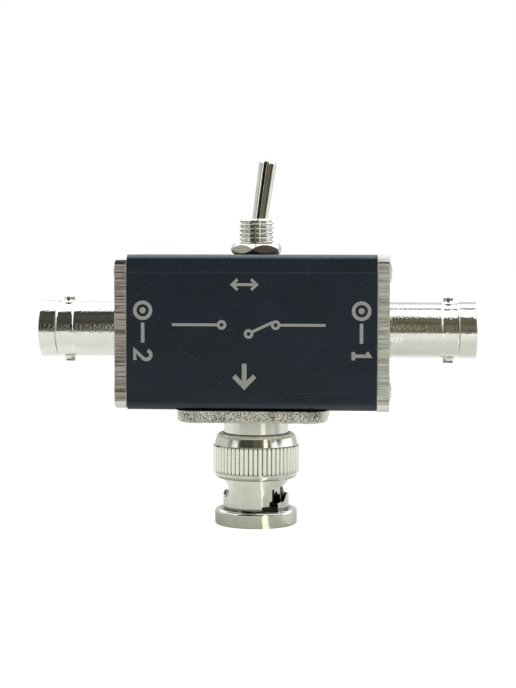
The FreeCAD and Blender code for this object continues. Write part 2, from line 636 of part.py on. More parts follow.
def between_radii(lower, upper, radii):
    """Solid between two radii whose lower and upper borders are curves of (angle, height) points."""
    curves = {}
    for name, border in (("low", lower), ("high", upper)):
        for radius in radii:
            curve = Part.BSplineCurve()
            curve.interpolate([around(radius, angle, height) for angle, height in border])
            curves[name, radius] = curve.toShape()
    near, far = radii
    faces = [Part.makeRuledSurface(curves["low", near], curves["low", far]),
             Part.makeRuledSurface(curves["high", near], curves["high", far]),
             Part.makeRuledSurface(curves["low", near], curves["high", near]),
             Part.makeRuledSurface(curves["low", far], curves["high", far])]
    for end in (0, -1):
        angle, low, high = lower[end][0], lower[end][1], upper[end][1]
        ring = [around(near, angle, low), around(far, angle, low), around(far, angle, high),
                around(near, angle, high)]
        faces.append(Part.Face(Part.makePolygon(ring + ring[:1])))
    shell = Part.makeShell(faces)
    shell.sewShape()
    solid = Part.makeSolid(shell)
    solid.fix(1e-6, 1e-6, 1e-6)
    return solid if solid.Volume > 0 else solid.reversed()


def bayonet_cutters():
    """Entry, ramp and detent pocket of both bayonet slots, and the lug grooves in the mouth ring."""
    radii = (MOUTH_RADIUS - 0.4, SLEEVE_RADIUS + 0.4)
    first, last = ENTRY_ANGLES
    floor = [(angle, MOUTH_RING_HEIGHT) for angle, _ in SLOT_UPPER_ENTRY]
    entry = between_radii(floor, SLOT_UPPER_ENTRY, radii)
    ramp = between_radii(SLOT_LOWER_RAMP, SLOT_UPPER_RAMP, radii)
    direction = around(1, POCKET_ANGLE, 0)
    pocket = Part.makeCylinder(POCKET_RADIUS, 2.4, direction * 4.2 + Vector(0, 0, POCKET_Z), direction)
    groove = Part.makeCylinder(LUG_PATH_RADIUS, MOUTH_RING_HEIGHT + 2, Vector(0, 0, -1), UP, last - first)
    groove.rotate(Vector(0, 0, 0), UP, first - 90)
    cutters = [entry, ramp, pocket, groove]
    for cutter in list(cutters):
        opposite = cutter.copy()
        opposite.rotate(Vector(0, 0, 0), UP, 180)
        cutters.append(opposite)
    return cutters


def knurl_band():
    """Straight-knurled band: round-topped ridges that meet in sharp grooves."""
    corners = []
    step = 360.0 / KNURL_RIDGES
    bevel, root = 0.3, KNURL_RADIUS - KNURL_DEPTH
    for i in range(KNURL_RIDGES):
        groove, crest = around(root, i * step, 0), around(KNURL_RADIUS, (i + 0.5) * step, 0)
        corners += [(groove.x, groove.y), (crest.x, crest.y, "via")]
    band = slab(corners, KNURL_BOTTOM, KNURL_TOP - KNURL_BOTTOM)
    limit = turned([(0, KNURL_BOTTOM), (root, KNURL_BOTTOM), (KNURL_RADIUS + 0.01, KNURL_BOTTOM + bevel),
                    (KNURL_RADIUS + 0.01, KNURL_TOP - bevel), (root, KNURL_TOP), (0, KNURL_TOP)])
    return band.common(limit)


def coupling_nut():
    """Bayonet coupling nut: mouth ring, slotted sleeve, knurled band and turned-in rear lip."""
    root = KNURL_RADIUS - KNURL_DEPTH
    chamber_bottom = SHOULDER_BOTTOM - SEAT_GAP
    chamfer_bottom, chamfer_radius = NUT_TOP - NUT_OPENING_CHAMFER, NUT_OPENING + NUT_OPENING_CHAMFER
    outer = turned([(0, 0), (MOUTH_RING_RADIUS, 0, 0.4), (MOUTH_RING_RADIUS, MOUTH_RING_HEIGHT, 0.45),
                    (SLEEVE_RADIUS, MOUTH_RING_HEIGHT), (SLEEVE_RADIUS, WIDE_BOTTOM),
                    (WIDE_RADIUS, WIDE_BOTTOM, 0.7), (WIDE_RADIUS, KNURL_BOTTOM), (root, KNURL_BOTTOM),
                    (root, KNURL_TOP), (root - 0.55, NUT_TOP, 0.85), (0, NUT_TOP)])
    inner = turned([(0, -1), (MOUTH_RADIUS, -1), (MOUTH_RADIUS, MOUTH_RING_HEIGHT),
                    (SLEEVE_BORE, MOUTH_RING_HEIGHT), (SLEEVE_BORE, chamber_bottom), (NUT_CHAMBER, chamber_bottom),
                    (NUT_CHAMBER, NUT_TOP - NUT_LIP), (NUT_OPENING, NUT_TOP - NUT_LIP),
                    (NUT_OPENING, chamfer_bottom), (chamfer_radius, NUT_TOP), (chamfer_radius, NUT_TOP + 1),
                    (0, NUT_TOP + 1)])
    return outer.fuse(knurl_band()).cut(inner).cut(bayonet_cutters())


def wave_spring():
    """Two three-wave spring washers, crest to crest, around the neck."""
    washer_top = NUT_TOP - NUT_LIP - SEAT_GAP - THRUST_WASHER_THICKNESS
    height = (washer_top - SHOULDER_TOP) / 2
    sheet = 0.25
    swing = (height - sheet - SEAT_GAP) / 2
    waves, steps = 3, 72
    washers = []
    for index, phase in ((0, 1), (1, -1)):
        middle = SHOULDER_TOP + height * (index + 0.5)
        rings = {}
        for radius in (NECK_RADIUS + 0.15, NUT_CHAMBER - 0.15):
            for level in (-sheet / 2, sheet / 2):
                points = []
                for i in range(steps):
                    angle = 360.0 * i / steps
                    rise = phase * swing * math.sin(math.radians(waves * angle))
                    points.append(around(radius, angle, middle + level + rise))
                curve = Part.BSplineCurve()
                curve.interpolate(points, PeriodicFlag=True)
                rings[radius, level] = Part.Wire(curve.toShape())
        (near, low), (near, high), (far, low), (far, high) = rings
        pairs = [((near, low), (far, low)), ((near, high), (far, high)), ((near, low), (near, high)),
                 ((far, low), (far, high))]
        faces = [Part.makeRuledSurface(rings[a].Edges[0], rings[b].Edges[0]) for a, b in pairs]
        shell = Part.makeShell(faces)
        shell.sewShape()
        solid = Part.makeSolid(shell)
        washers.append(solid if solid.Volume > 0 else solid.reversed())
    return Part.makeCompound(washers)


def wire_along(points):
    """Round wire in the XZ plane: straight runs between (x, z) points, joined by tangent arcs."""
    path = [Vector(x, 0, z) for x, z in points]
    edges, last = [], path[0]
    for before, corner, after in zip(path, path[1:], path[2:]):
        back, ahead = (before - corner), (after - corner)
        half = back.getAngle(ahead) / 2
        reach = 0.45 * min(back.Length, ahead.Length)
        back.normalize()
        ahead.normalize()
        radius = reach * math.tan(half)
        inward = (back + ahead).normalize()
        middle = corner + inward * (radius / math.sin(half) - radius)
        start, end = corner + back * reach, corner + ahead * reach
        edges += [Part.LineSegment(last, start).toShape(), Part.Arc(start, middle, end).toShape()]
        last = end
    edges.append(Part.LineSegment(last, path[-1]).toShape())
    section = Part.Wire(Part.makeCircle(WIRE_RADIUS, path[0], path[1] - path[0]))
    return Part.Wire(edges).makePipeShell([section], True, True)


def port_wire(port):
    """Wire from a socket's solder cup to the switch terminal on its side."""
    side = 1 if port == 1 else -1
    cup = PLATE_FACE_X - SOCKET_TAIL_LENGTH - SOCKET_CONTACT_TAIL
    route = [(cup + 1.8, AXIS_Z), (cup - 4.8, AXIS_Z), (TERMINAL_PITCH + 2.6, TERMINAL_HOLE_Z),
             (TERMINAL_PITCH - 0.9, TERMINAL_HOLE_Z)]
    return wire_along([(side * x, z) for x, z in route])


def wire_common():
    """Straight wire from the plug pin's cup to the common terminal."""
    cup_top = HOUSING_BOTTOM + SPIGOT_RISE + 2.8
    return rod(WIRE_RADIUS, cup_top - 1.9, TERMINAL_BOTTOM)


def all_nodes():
    """Every piece by its node name."""
    nodes = {"housing": housing(), "toggle_bushing": toggle_bushing(), "toggle_frame": toggle_frame(),
             "toggle_body": toggle_body(), "terminal_left": terminal_side(-1),
             "terminal_right": terminal_side(1), "terminal_common": terminal_common(),
             "contact_rocker": contact_rocker(), "toggle_lever": toggle_lever(),
             "toggle_plunger": toggle_plunger(), "toggle_spring": toggle_spring(),
             "plug_flange": plug_flange(), "flange_screws": flange_screws(), "plug_shell": plug_shell(),
             "plug_outer_contact": plug_outer_contact(), "plug_insulator": plug_insulator(),
             "plug_pin": plug_pin(), "plug_gasket": plug_gasket(), "thrust_washer": thrust_washer(),
             "coupling_nut": coupling_nut(), "wave_spring": wave_spring(), "wire_common": wire_common()}
    nut_bore = BUSHING_RADIUS + THREAD_CLEARANCE
    nodes["toggle_panel_nut"] = hex_nut(TOGGLE_NUT_FLATS, HOUSING_TOP, TOGGLE_NUT_THICKNESS, nut_bore,
                                        TOGGLE_NUT_TURN, steepness=1.05)
    nodes["toggle_inner_nut"] = hex_nut(TOGGLE_NUT_FLATS, FRAME_TOP, INNER_NUT_THICKNESS, nut_bore)
    nodes["toggle_lock_washer"] = tooth_washer(TOGGLE_WASHER, INNER_NUT_TOP)
    for port in (1, 2):
        nodes[f"end_plate_{port}"] = end_plate(port)
        nodes[f"plate_screws_{port}"] = plate_screws(port)
        nodes[f"socket_{port}_shell"] = socket_shell(port)
        nodes[f"socket_{port}_insulator"] = socket_insulator(port)
        nodes[f"socket_{port}_contact"] = socket_contact(port)
        nodes[f"socket_{port}_lock_washer"] = socket_lock_washer(port)
        nodes[f"socket_{port}_nut"] = socket_nut(port)
        nodes[f"wire_{port}"] = port_wire(port)
    return nodes


def main():
    os.makedirs("parts", exist_ok=True)
    for name, shape in all_nodes().items():
        shape.exportStep(f"parts/{name}.step")
        box = shape.BoundBox
        print(f"{name:22s} solids {len(shape.Solids)} valid {shape.isValid()} volume {shape.Volume:9.3f} "
              f"x {box.XMin:7.2f} {box.XMax:7.2f} y {box.YMin:7.2f} {box.YMax:7.2f} "
              f"z {box.ZMin:6.2f} {box.ZMax:6.2f}")


main()
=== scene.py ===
import json
import math

import bpy
import numpy as np
from bpy.props import FloatProperty, FloatVectorProperty, IntProperty, PointerProperty
from mathutils import Matrix, Vector
from mathutils.geometry import tessellate_polygon


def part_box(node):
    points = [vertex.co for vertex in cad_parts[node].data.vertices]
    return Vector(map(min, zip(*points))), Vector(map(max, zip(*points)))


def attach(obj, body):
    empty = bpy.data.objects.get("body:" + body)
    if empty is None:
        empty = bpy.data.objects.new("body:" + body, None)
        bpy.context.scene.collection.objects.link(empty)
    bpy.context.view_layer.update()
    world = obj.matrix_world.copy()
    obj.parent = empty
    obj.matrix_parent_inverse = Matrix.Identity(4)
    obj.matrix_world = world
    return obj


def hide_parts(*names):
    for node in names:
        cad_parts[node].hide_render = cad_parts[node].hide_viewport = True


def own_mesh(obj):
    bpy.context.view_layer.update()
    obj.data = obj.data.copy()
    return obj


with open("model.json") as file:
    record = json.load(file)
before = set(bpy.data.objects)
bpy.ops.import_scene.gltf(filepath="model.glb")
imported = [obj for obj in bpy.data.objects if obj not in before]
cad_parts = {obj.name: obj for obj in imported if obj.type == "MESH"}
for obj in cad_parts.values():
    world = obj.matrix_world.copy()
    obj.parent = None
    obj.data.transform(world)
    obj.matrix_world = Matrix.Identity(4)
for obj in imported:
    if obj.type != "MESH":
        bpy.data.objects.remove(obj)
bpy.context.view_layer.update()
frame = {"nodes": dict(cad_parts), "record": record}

bl_info = {
    "name": "Coaxial Antenna Switch",
    "version": (1, 0, 0),
    "blender": (4, 5, 0),
    "location": "View3D > Sidebar > Switch",
    "description": "Cast flange, thread, markings, finishes and studio of a two-way coaxial antenna switch",
    "category": "Object",
}

MM = 0.001
PER_MM = 1000.0
# In millimetres: nothing of the plug's flange but its square plate lies farther from the YZ plane
FLANGE_REACH = 9.0


def node_range(node):
    """Lowest and highest corner of a frame node, in millimetres."""
    low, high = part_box(node)
    return np.array(low) / MM, np.array(high) / MM


def node_slice(node, reach=0.0, low=-math.inf, high=math.inf):
    """Lowest and highest corner, and smallest and largest distance from the Z axis, of those corner points of
    a frame node that lie farther than `reach` from the YZ plane and between two heights, in millimetres."""
    vertices = frame["nodes"][node].data.vertices
    points = np.empty(len(vertices) * 3)
    vertices.foreach_get("co", points)
    points = points.reshape(-1, 3) / MM
    kept = points[(np.abs(points[:, 0]) > reach) & (points[:, 2] > low) & (points[:, 2] < high)]
    away = np.hypot(kept[:, 0], kept[:, 1])
    return kept.min(axis=0), kept.max(axis=0), away.min(), away.max()


def srgb(r, g, b):
    """Linear colour with alpha 1 of a display colour given in bytes."""
    share = np.array([r, g, b], float) / 255
    linear = np.where(share <= 0.04045, share / 12.92, ((share + 0.055) / 1.055) ** 2.4)
    return (*linear.tolist(), 1.0)


# Surfaces


class Surface:
    """Points, in millimetres, and faces of one piece, put together patch by patch."""

    def __init__(self):
        self.points, self.faces, self.count = [], [], 0

    def put(self, points):
        """Stores an array (..., 3) of points and returns their numbers in the same layout."""
        points = np.asarray(points, float)
        numbers = self.count + np.arange(points[..., 0].size).reshape(points.shape[:-1])
        self.points.append(points.reshape(-1, 3))
        self.count += numbers.size
        return numbers

    def weave(self, numbers, around=True, closed=False):
        """Quads between neighbouring rows and columns of point numbers. `around` joins the last column
        to the first, `closed` the last row to the first. Rows that climb while columns run
        anticlockwise about the axis face outwards."""
        if around:
            numbers = np.concatenate([numbers, numbers[:, :1]], axis=1)
        if closed:
            numbers = np.concatenate([numbers, numbers[:1]], axis=0)
        corners = [numbers[:-1, :-1], numbers[:-1, 1:], numbers[1:, 1:], numbers[1:, :-1]]
        self.faces.append(np.stack(corners, axis=-1).reshape(-1, 4))

    def flat(self, outline, holes=(), upwards=True):
        """Triangles of the flat face inside an outline of point numbers and around its holes."""
        every = np.concatenate(self.points)
        loops = [outline, *holes]
        flat_loops = [[Vector((x, y, 0)) for x, y, _ in every[loop]] for loop in loops]
        triangles = np.concatenate(loops)[np.array(tessellate_polygon(flat_loops))]
        a, b, c = (every[triangles[:, i]][:, :2] for i in range(3))
        turn = (b[:, 0] - a[:, 0]) * (c[:, 1] - a[:, 1]) - (b[:, 1] - a[:, 1]) * (c[:, 0] - a[:, 0])
        wrong = (turn > 0) != upwards
        triangles[wrong] = triangles[wrong][:, ::-1]
        self.faces.append(triangles)

    def mesh(self, name, sharp_degrees=40):
        """Mesh of the surface in metres, smooth but for edges sharper than the given angle."""
        data = bpy.data.meshes.new(name)
        points = np.concatenate(self.points) * MM
        totals = np.concatenate([np.full(len(block), block.shape[1]) for block in self.faces])
        corners = np.concatenate([block.ravel() for block in self.faces])
        data.vertices.add(len(points))
        data.vertices.foreach_set("co", points.ravel().astype(np.float32))
        data.loops.add(len(corners))
        data.loops.foreach_set("vertex_index", corners.astype(np.int32))
        data.polygons.add(len(totals))
        data.polygons.foreach_set("loop_start", (np.cumsum(totals) - totals).astype(np.int32))
        data.update(calc_edges=True)
        data.validate()
        data.shade_smooth()
        data.set_sharp_from_angle(angle=math.radians(sharp_degrees))
        return data


def place_piece(name, surface, material, body, replaced=()):
    """Makes an object of a surface and hands it to the frame."""
    piece = bpy.data.objects.new(name, surface.mesh(name))
    bpy.context.scene.collection.objects.link(piece)
    piece.data.materials.append(material)
    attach(piece, body)
    if replaced:
        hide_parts(*replaced)
    return piece


def rounded(corners, step=12.0, hold=0.03):
    """Points of a line of (a, b) or (a, b, radius) corners. A radius turns its corner into an arc tangent to
    both sides, cut every `step` degrees, with one more point `hold` outside each end, which keeps the shading
    of long flat sides even."""
    flat = np.array([corner[:2] for corner in corners], float)
    points = [flat[0]]
    for i in range(1, len(corners) - 1):
        radius = corners[i][2] if len(corners[i]) > 2 else 0.0
        if radius == 0:
            points.append(flat[i])
            continue
        back, ahead = flat[i - 1] - flat[i], flat[i + 1] - flat[i]
        back, ahead = back / np.linalg.norm(back), ahead / np.linalg.norm(ahead)
        half = np.arccos(np.clip(back @ ahead, -1, 1)) / 2
        reach = radius / np.tan(half)
        centre = flat[i] + (back + ahead) / np.linalg.norm(back + ahead) * radius / np.sin(half)
        start, end = flat[i] + back * reach - centre, flat[i] + ahead * reach - centre
        sweep = np.pi - 2 * half
        parts = max(2, int(np.ceil(np.degrees(sweep) / step)))
        share = np.arange(parts + 1)[:, None] / parts
        arc = (np.sin((1 - share) * sweep) * start + np.sin(share * sweep) * end) / np.sin(sweep)
        points += [flat[i] + back * (reach + hold), *(centre + arc), flat[i] + ahead * (reach + hold)]
    points.append(flat[-1])
    return np.array(points)


def turned(profile, angles, centre=(0.0, 0.0)):
    """Points of a profile of (radius, height) pairs carried around a vertical axis: one row per profile
    point, one column per angle, x = radius cos(angle), y = radius sin(angle)."""
    radius, height = np.asarray(profile, float).T
    x = centre[0] + radius[:, None] * np.cos(angles)
    y = centre[1] + radius[:, None] * np.sin(angles)
    return np.stack([x, y, np.broadcast_to(height[:, None], x.shape)], axis=-1)


def circle_angles(count):
    """Evenly spaced angles of a whole turn, in radians."""
    return np.arange(count) * 2 * np.pi / count


def grain(points, cell, seed):
    """Smooth random numbers in -1..1: random values on a lattice of the given cell size, blended between the
    eight corners around each point with the smoothstep 3t^2 - 2t^3."""
    size = 64
    table = np.random.default_rng(seed).uniform(-1, 1, (size, size, size))
    place = points / cell
    corner = np.floor(place).astype(int)
    share = place - corner
    share = share * share * (3 - 2 * share)
    total = np.zeros(points.shape[:-1])
    for dx in (0, 1):
        for dy in (0, 1):
            for dz in (0, 1):
                weight = np.prod(np.where((dx, dy, dz), share, 1 - share), axis=-1)
                index = (corner + (dx, dy, dz)) % size
                total += weight * table[index[..., 0], index[..., 1], index[..., 2]]
    return total


# Finishes


def toned(colour, share):
    """Opaque colour whose parts are a share of the given one's, at most 1."""
    return (*(min(1.0, part * share) for part in colour[:3]), 1.0)


class Recipe:
    """A node tree that is written one node at a time. A share is a value between 0 and 1."""

    def __init__(self, tree, output):
        tree.nodes.clear()
        self.tree = tree
        self.output = self.add(output)
        self.place = self.add("ShaderNodeTexCoord").outputs["Object"]

    def add(self, kind, inputs=(), **settings):
        """Adds a node. `inputs` maps socket names or numbers to values or to other nodes' outputs."""
        node = self.tree.nodes.new(kind)
        for name, value in settings.items():
            setattr(node, name, value)
        for socket, value in dict(inputs).items():
            if isinstance(value, bpy.types.NodeSocket):
                self.tree.links.new(value, node.inputs[socket])
            else:
                node.inputs[socket].default_value = value
        return node

    def parts(self, vector):
        """The three parts of a vector."""
        return self.add("ShaderNodeSeparateXYZ", {0: vector}).outputs

    def scaled(self, factors):
        """Object coordinates in metres, times one factor or one for each axis."""
        factors = np.broadcast_to(factors, 3).tolist()
        return self.add("ShaderNodeVectorMath", {0: self.place, 1: factors}, operation="MULTIPLY").outputs[0]

    def axes(self):
        """Object coordinates in millimetres."""
        return self.parts(self.scaled(PER_MM))

    def step(self, operation, a, b=0.0):
        """One maths step."""
        return self.add("ShaderNodeMath", {0: a, 1: b}, operation=operation).outputs[0]

    def times(self, value, *others):
        """Product of two or more values."""
        for other in others:
            value = self.step("MULTIPLY", value, other)
        return value

    def less(self, share):
        """What a share leaves of 1."""
        return self.step("SUBTRACT", 1.0, share)

    def ramp(self, value, low, high, out_low=0.0, out_high=1.0):
        """Value carried from low..high to out_low..out_high with soft ends, held flat outside."""
        sockets = {0: value, 1: low, 2: high, 3: out_low, 4: out_high}
        return self.add("ShaderNodeMapRange", sockets, interpolation_type="SMOOTHSTEP").outputs[0]

    def fade(self, value, low, high, amount=1.0):
        """Ramp that falls from the given amount to 0."""
        return self.ramp(value, low, high, amount, 0.0)

    def band(self, value, start, full, end, gone):
        """1 between `full` and `end`, with a soft edge towards `start` and another towards `gone`."""
        return self.times(self.ramp(value, start, full), self.fade(value, end, gone))

    def blend(self, share, a, b, kind="MIX"):
        """Mix of two colours."""
        sockets = {0: share, 6: a, 7: b}
        return self.add("ShaderNodeMix", sockets, data_type="RGBA", blend_type=kind).outputs[2]

    def tinted(self, colour, hue, tints, amounts):
        """Colour multiplied by the first tint where a noise is low and by the second where it is high."""
        colour = self.blend(self.ramp(hue, 0.42, 0.3, 0.0, amounts[0]), colour, tints[0], "MULTIPLY")
        return self.blend(self.ramp(hue, 0.55, 0.68, 0.0, amounts[1]), colour, tints[1], "MULTIPLY")

    def noise(self, cycles, detail, rough=0.55):
        """Fractal noise, about 0.5 on average, of one or three numbers of cycles per millimetre."""
        vector = self.scaled(np.multiply(cycles, PER_MM))
        sockets = {"Vector": vector, "Scale": 1.0, "Detail": detail, "Roughness": rough}
        return self.add("ShaderNodeTexNoise", sockets).outputs["Fac"]

    def specks(self, cycles, size):
        """1 in scattered dots, a number of them per millimetre, and 0 between them."""
        sockets = {"Vector": self.scaled(cycles * PER_MM), "Scale": 1.0}
        dots = self.add("ShaderNodeTexVoronoi", sockets).outputs["Distance"]
        return self.fade(dots, size * 0.6, size)

    def bump(self, height, millimetres, strength=1.0, under=None):
        """Normal of a height given in 0..1 of the stated depth, added to the normal `under` it."""
        sockets = {"Height": height, "Distance": millimetres * MM, "Strength": strength}
        if under is not None:
            sockets["Normal"] = under
        return self.add("ShaderNodeBump", sockets).outputs["Normal"]

    def surface(self, colour, rough, metallic, normal, **fixed):
        """Principled surface. `fixed` sets further sockets, an underscore standing for a space."""
        sockets = {"Base Color": colour, "Roughness": rough, "Metallic": metallic, "Normal": normal}
        sockets.update({name.replace("_", " "): value for name, value in fixed.items()})
        self.finish(self.add("ShaderNodeBsdfPrincipled", sockets).outputs[0])

    def shader(self, kind, *inputs):
        """Output of a shader node whose first sockets are given in turn."""
        return self.add(kind, dict(enumerate(inputs))).outputs[0]

    def by_ray(self, camera, mirrored, other):
        """Finishes the tree: one shader for the camera, one for mirroring metal and one for other rays."""
        path = self.add("ShaderNodeLightPath").outputs
        choice = self.shader("ShaderNodeMixShader", path["Is Camera Ray"], other, camera)
        self.finish(self.shader("ShaderNodeMixShader", path["Is Glossy Ray"], choice, mirrored))

    def finish(self, shader):
        """Links a shader to the tree's output."""
        self.tree.links.new(shader, self.output.inputs["Surface"])


def recipe(name):
    """New material and its recipe."""
    material = bpy.data.materials.new(name)
    material.use_nodes = True
    return material, Recipe(material.node_tree, "ShaderNodeOutputMaterial")


def anodised(name, colour, low, high, seam_half):
    """Dyed, satin anodised extrusion: fine die lines along X, cloudy dye and a few pale specks. A grainy
    painted highlight lies along the top rounded edges and a faint painted highlight along the bottom, and
    painted shadow darkens the bottom edge in the seam over the flange, to `seam_half` from the middle, where
    the sheen is also taken out. `low` and `high` are the corners of its box in millimetres."""
    bottom, top, half = low[2], high[2], high[1]
    material, r = recipe(name)
    lines = r.noise((0.05, 9.0, 9.0), 4.0)
    fine = r.noise(4.5, 3.0, 0.7)
    cloud = r.noise((0.12, 0.2, 0.2), 2.0)
    base = r.blend(r.ramp(cloud, 0.35, 0.65), colour, toned(colour, 1.22))
    base = r.blend(r.ramp(lines, 0.45, 0.75, 0.0, 0.35), base, toned(colour, 0.7))
    dots = r.times(r.specks(0.9, 0.075), 0.5)
    base = r.blend(dots, base, srgb(120, 124, 130))
    along, across, up = r.axes()
    # Painted highlight: a grainy light band along the top rounded edges.
    rounding = r.ramp(r.step("ABSOLUTE", across), half - 1.6, half - 0.9)
    patchy = r.ramp(fine, 0.3, 0.65, 0.25, 1.0)
    painted_highlight = r.times(r.ramp(up, top - 0.75, top - 0.25), rounding, patchy)
    base = r.blend(painted_highlight, base, srgb(104, 117, 128))
    # Painted highlight: a faint light band on the bottom rounded edge.
    bottom_edge_highlight = r.fade(up, bottom + 0.2, bottom + 1.4, 0.25)
    base = r.blend(bottom_edge_highlight, base, srgb(96, 104, 114))
    # Painted shadow in the seam between the housing's bottom edge and the flange; the sheen is taken out
    # there too.
    seam_shadow_depth = 0.9
    seam_shadow = r.times(r.fade(r.step("ABSOLUTE", along), seam_half - 0.2, seam_half),
                  r.fade(up, bottom + 0.2, bottom + 0.5, seam_shadow_depth))
    base = r.blend(seam_shadow, base, srgb(2, 2, 3))
    shine = r.fade(seam_shadow, 0.0, seam_shadow_depth, 0.3)
    height = r.step("ADD", r.times(lines, 0.3), fine)
    r.surface(base, r.ramp(fine, 0.3, 0.7, 0.27, 0.4), 0.0, r.bump(height, 0.02), Specular_IOR_Level=shine)
    return material


def brushed(r):
    """Colour of a plate's outer face, and the height of its upright brush marks."""
    marks = r.noise((0.5, 6.0, 0.25), 4.0, 0.6)
    cloud = r.noise((0.2, 0.25, 0.25), 3.0)
    colour = r.blend(r.ramp(marks, 0.3, 0.7), srgb(150, 149, 140), srgb(196, 196, 187))
    return r.blend(r.fade(cloud, 0.35, 0.65, 0.3), colour, srgb(140, 138, 128)), r.times(marks, 0.2)


def sawn(name, tones, tints, inner, left, right):
    """Nickel over a sawn plate: dark cuts along X that vary across Y and Z, with faint colour tints. Painted
    highlights lie on the rounded edge at the housing, `inner` millimetres from the middle, on the bottom
    corners and on the right plate's top corner, with a band of painted shade under that one; the left plate's
    top corner has painted shade. The outer face is brushed upright. `left` and `right` are the plates' boxes,
    and `tones` the dark and bright colour of the left one and of the right one."""
    material, r = recipe(name)
    x, _, up = r.axes()
    away = r.step("ABSOLUTE", x)
    on_right = r.ramp(x, -1.0, 1.0)
    bottom, top = (r.ramp(on_right, 0.0, 1.0, left[end][2], right[end][2]) for end in (0, 1))
    under_top, over_bottom = r.step("SUBTRACT", top, up), r.step("SUBTRACT", up, bottom)
    cuts = r.noise((0.1, 3.8, 3.8), 5.0, 0.7)
    bands = r.noise((0.1, 0.9, 0.9), 3.0)
    deep, bright = r.blend(on_right, tones[0], tones[2]), r.blend(on_right, tones[1], tones[3])
    base = r.blend(r.ramp(cuts, 0.38, 0.6), deep, bright)
    base = r.tinted(base, r.noise((0.3, 2.2, 2.2), 2.0), tints, (0.55, 0.5))
    # Painted shade: a dark band just under the right plate's top corner highlight.
    line = r.times(r.fade(under_top, 1.42, 1.55, 0.9), on_right)
    base = r.blend(line, base, srgb(48, 48, 38))
    # Painted shade on the left plate's top rounded corner.
    top_left_shade = r.times(r.fade(under_top, 0.6, 0.75), r.less(on_right))
    base = r.blend(top_left_shade, base, srgb(14, 14, 8))
    # Painted highlights on the edge at the housing, the bottom corners and the right plate's top corner.
    inner_edge_highlight = r.fade(away, inner + 0.12, inner + 0.3, 0.75)
    bottom_edge_highlight = r.fade(over_bottom, 1.1, 1.3, 0.85)
    top_corner_highlight = r.times(r.fade(under_top, 1.15, 1.3, 0.95), on_right)
    edge_highlights = r.step("MAXIMUM", r.step("MAXIMUM", bottom_edge_highlight, top_corner_highlight), inner_edge_highlight)
    base = r.blend(edge_highlights, base, srgb(232, 232, 228))
    outer = right[1][0]
    face = r.ramp(away, outer - 0.1, outer - 0.03)
    face_colour, marks = brushed(r)
    height = r.step("ADD", cuts, r.times(face, r.step("SUBTRACT", marks, cuts)))
    r.surface(r.blend(face, base, face_colour), r.ramp(bands, 0.35, 0.65, 0.38, 0.52), 0.5,
              r.bump(height, 0.03, 0.9))
    return material


def plated(name, colour, rough, scratch, cloud=0.14, pits=0.0, grooves=()):
    """Bright plating: cloudy colour, roughness that wanders between two values, hair scratches and faint dull
    spots. `scratch` is the scratches' depth and `pits` that of an orange-peel grain, in millimetres. Each of
    `grooves` is two heights, two radii and two shares: between the heights, painted shade of the first share
    lies inside the first radius and fades out at the second, and outside it a painted highlight of the second
    share brightens the plating."""
    material, r = recipe(name)
    wide = r.noise(0.5, 3.0)
    fine = r.noise(5.0, 4.0, 0.65)
    hairs = r.noise((1.2, 1.2, 14.0), 2.0)
    base = r.blend(r.ramp(wide, 0.35, 0.65), toned(colour, 1 - cloud), colour)
    spots = r.times(r.specks(1.3, 0.09), 0.36)
    base = r.blend(spots, base, toned(colour, 0.6))
    x, y, up = r.axes()
    away = r.step("SQRT", r.step("ADD", r.times(x, x), r.times(y, y)))
    soft = 0.05
    # Painted shade inside the first radius and a painted highlight outside it, between each entry's heights.
    for low, high, root, crest, dark, bright in grooves:
        within = r.band(up, low - soft, low + soft, high - soft, high + soft)
        painted_highlight = r.times(within, r.ramp(away, root, crest, 0.0, bright))
        base = r.blend(painted_highlight, base, toned(colour, 1.2))
        painted_shade = r.times(within, r.fade(away, root, crest, dark))
        base = r.blend(painted_shade, base, toned(colour, 0.2))
    normal = r.bump(r.step("ADD", r.times(hairs, 0.6), fine), scratch)
    if pits:
        peel = r.noise(3.0, 2.0, 0.5)
        normal = r.bump(peel, pits, under=normal)
    r.surface(base, r.ramp(fine, 0.3, 0.7, *rough), 1.0, normal)
    return material


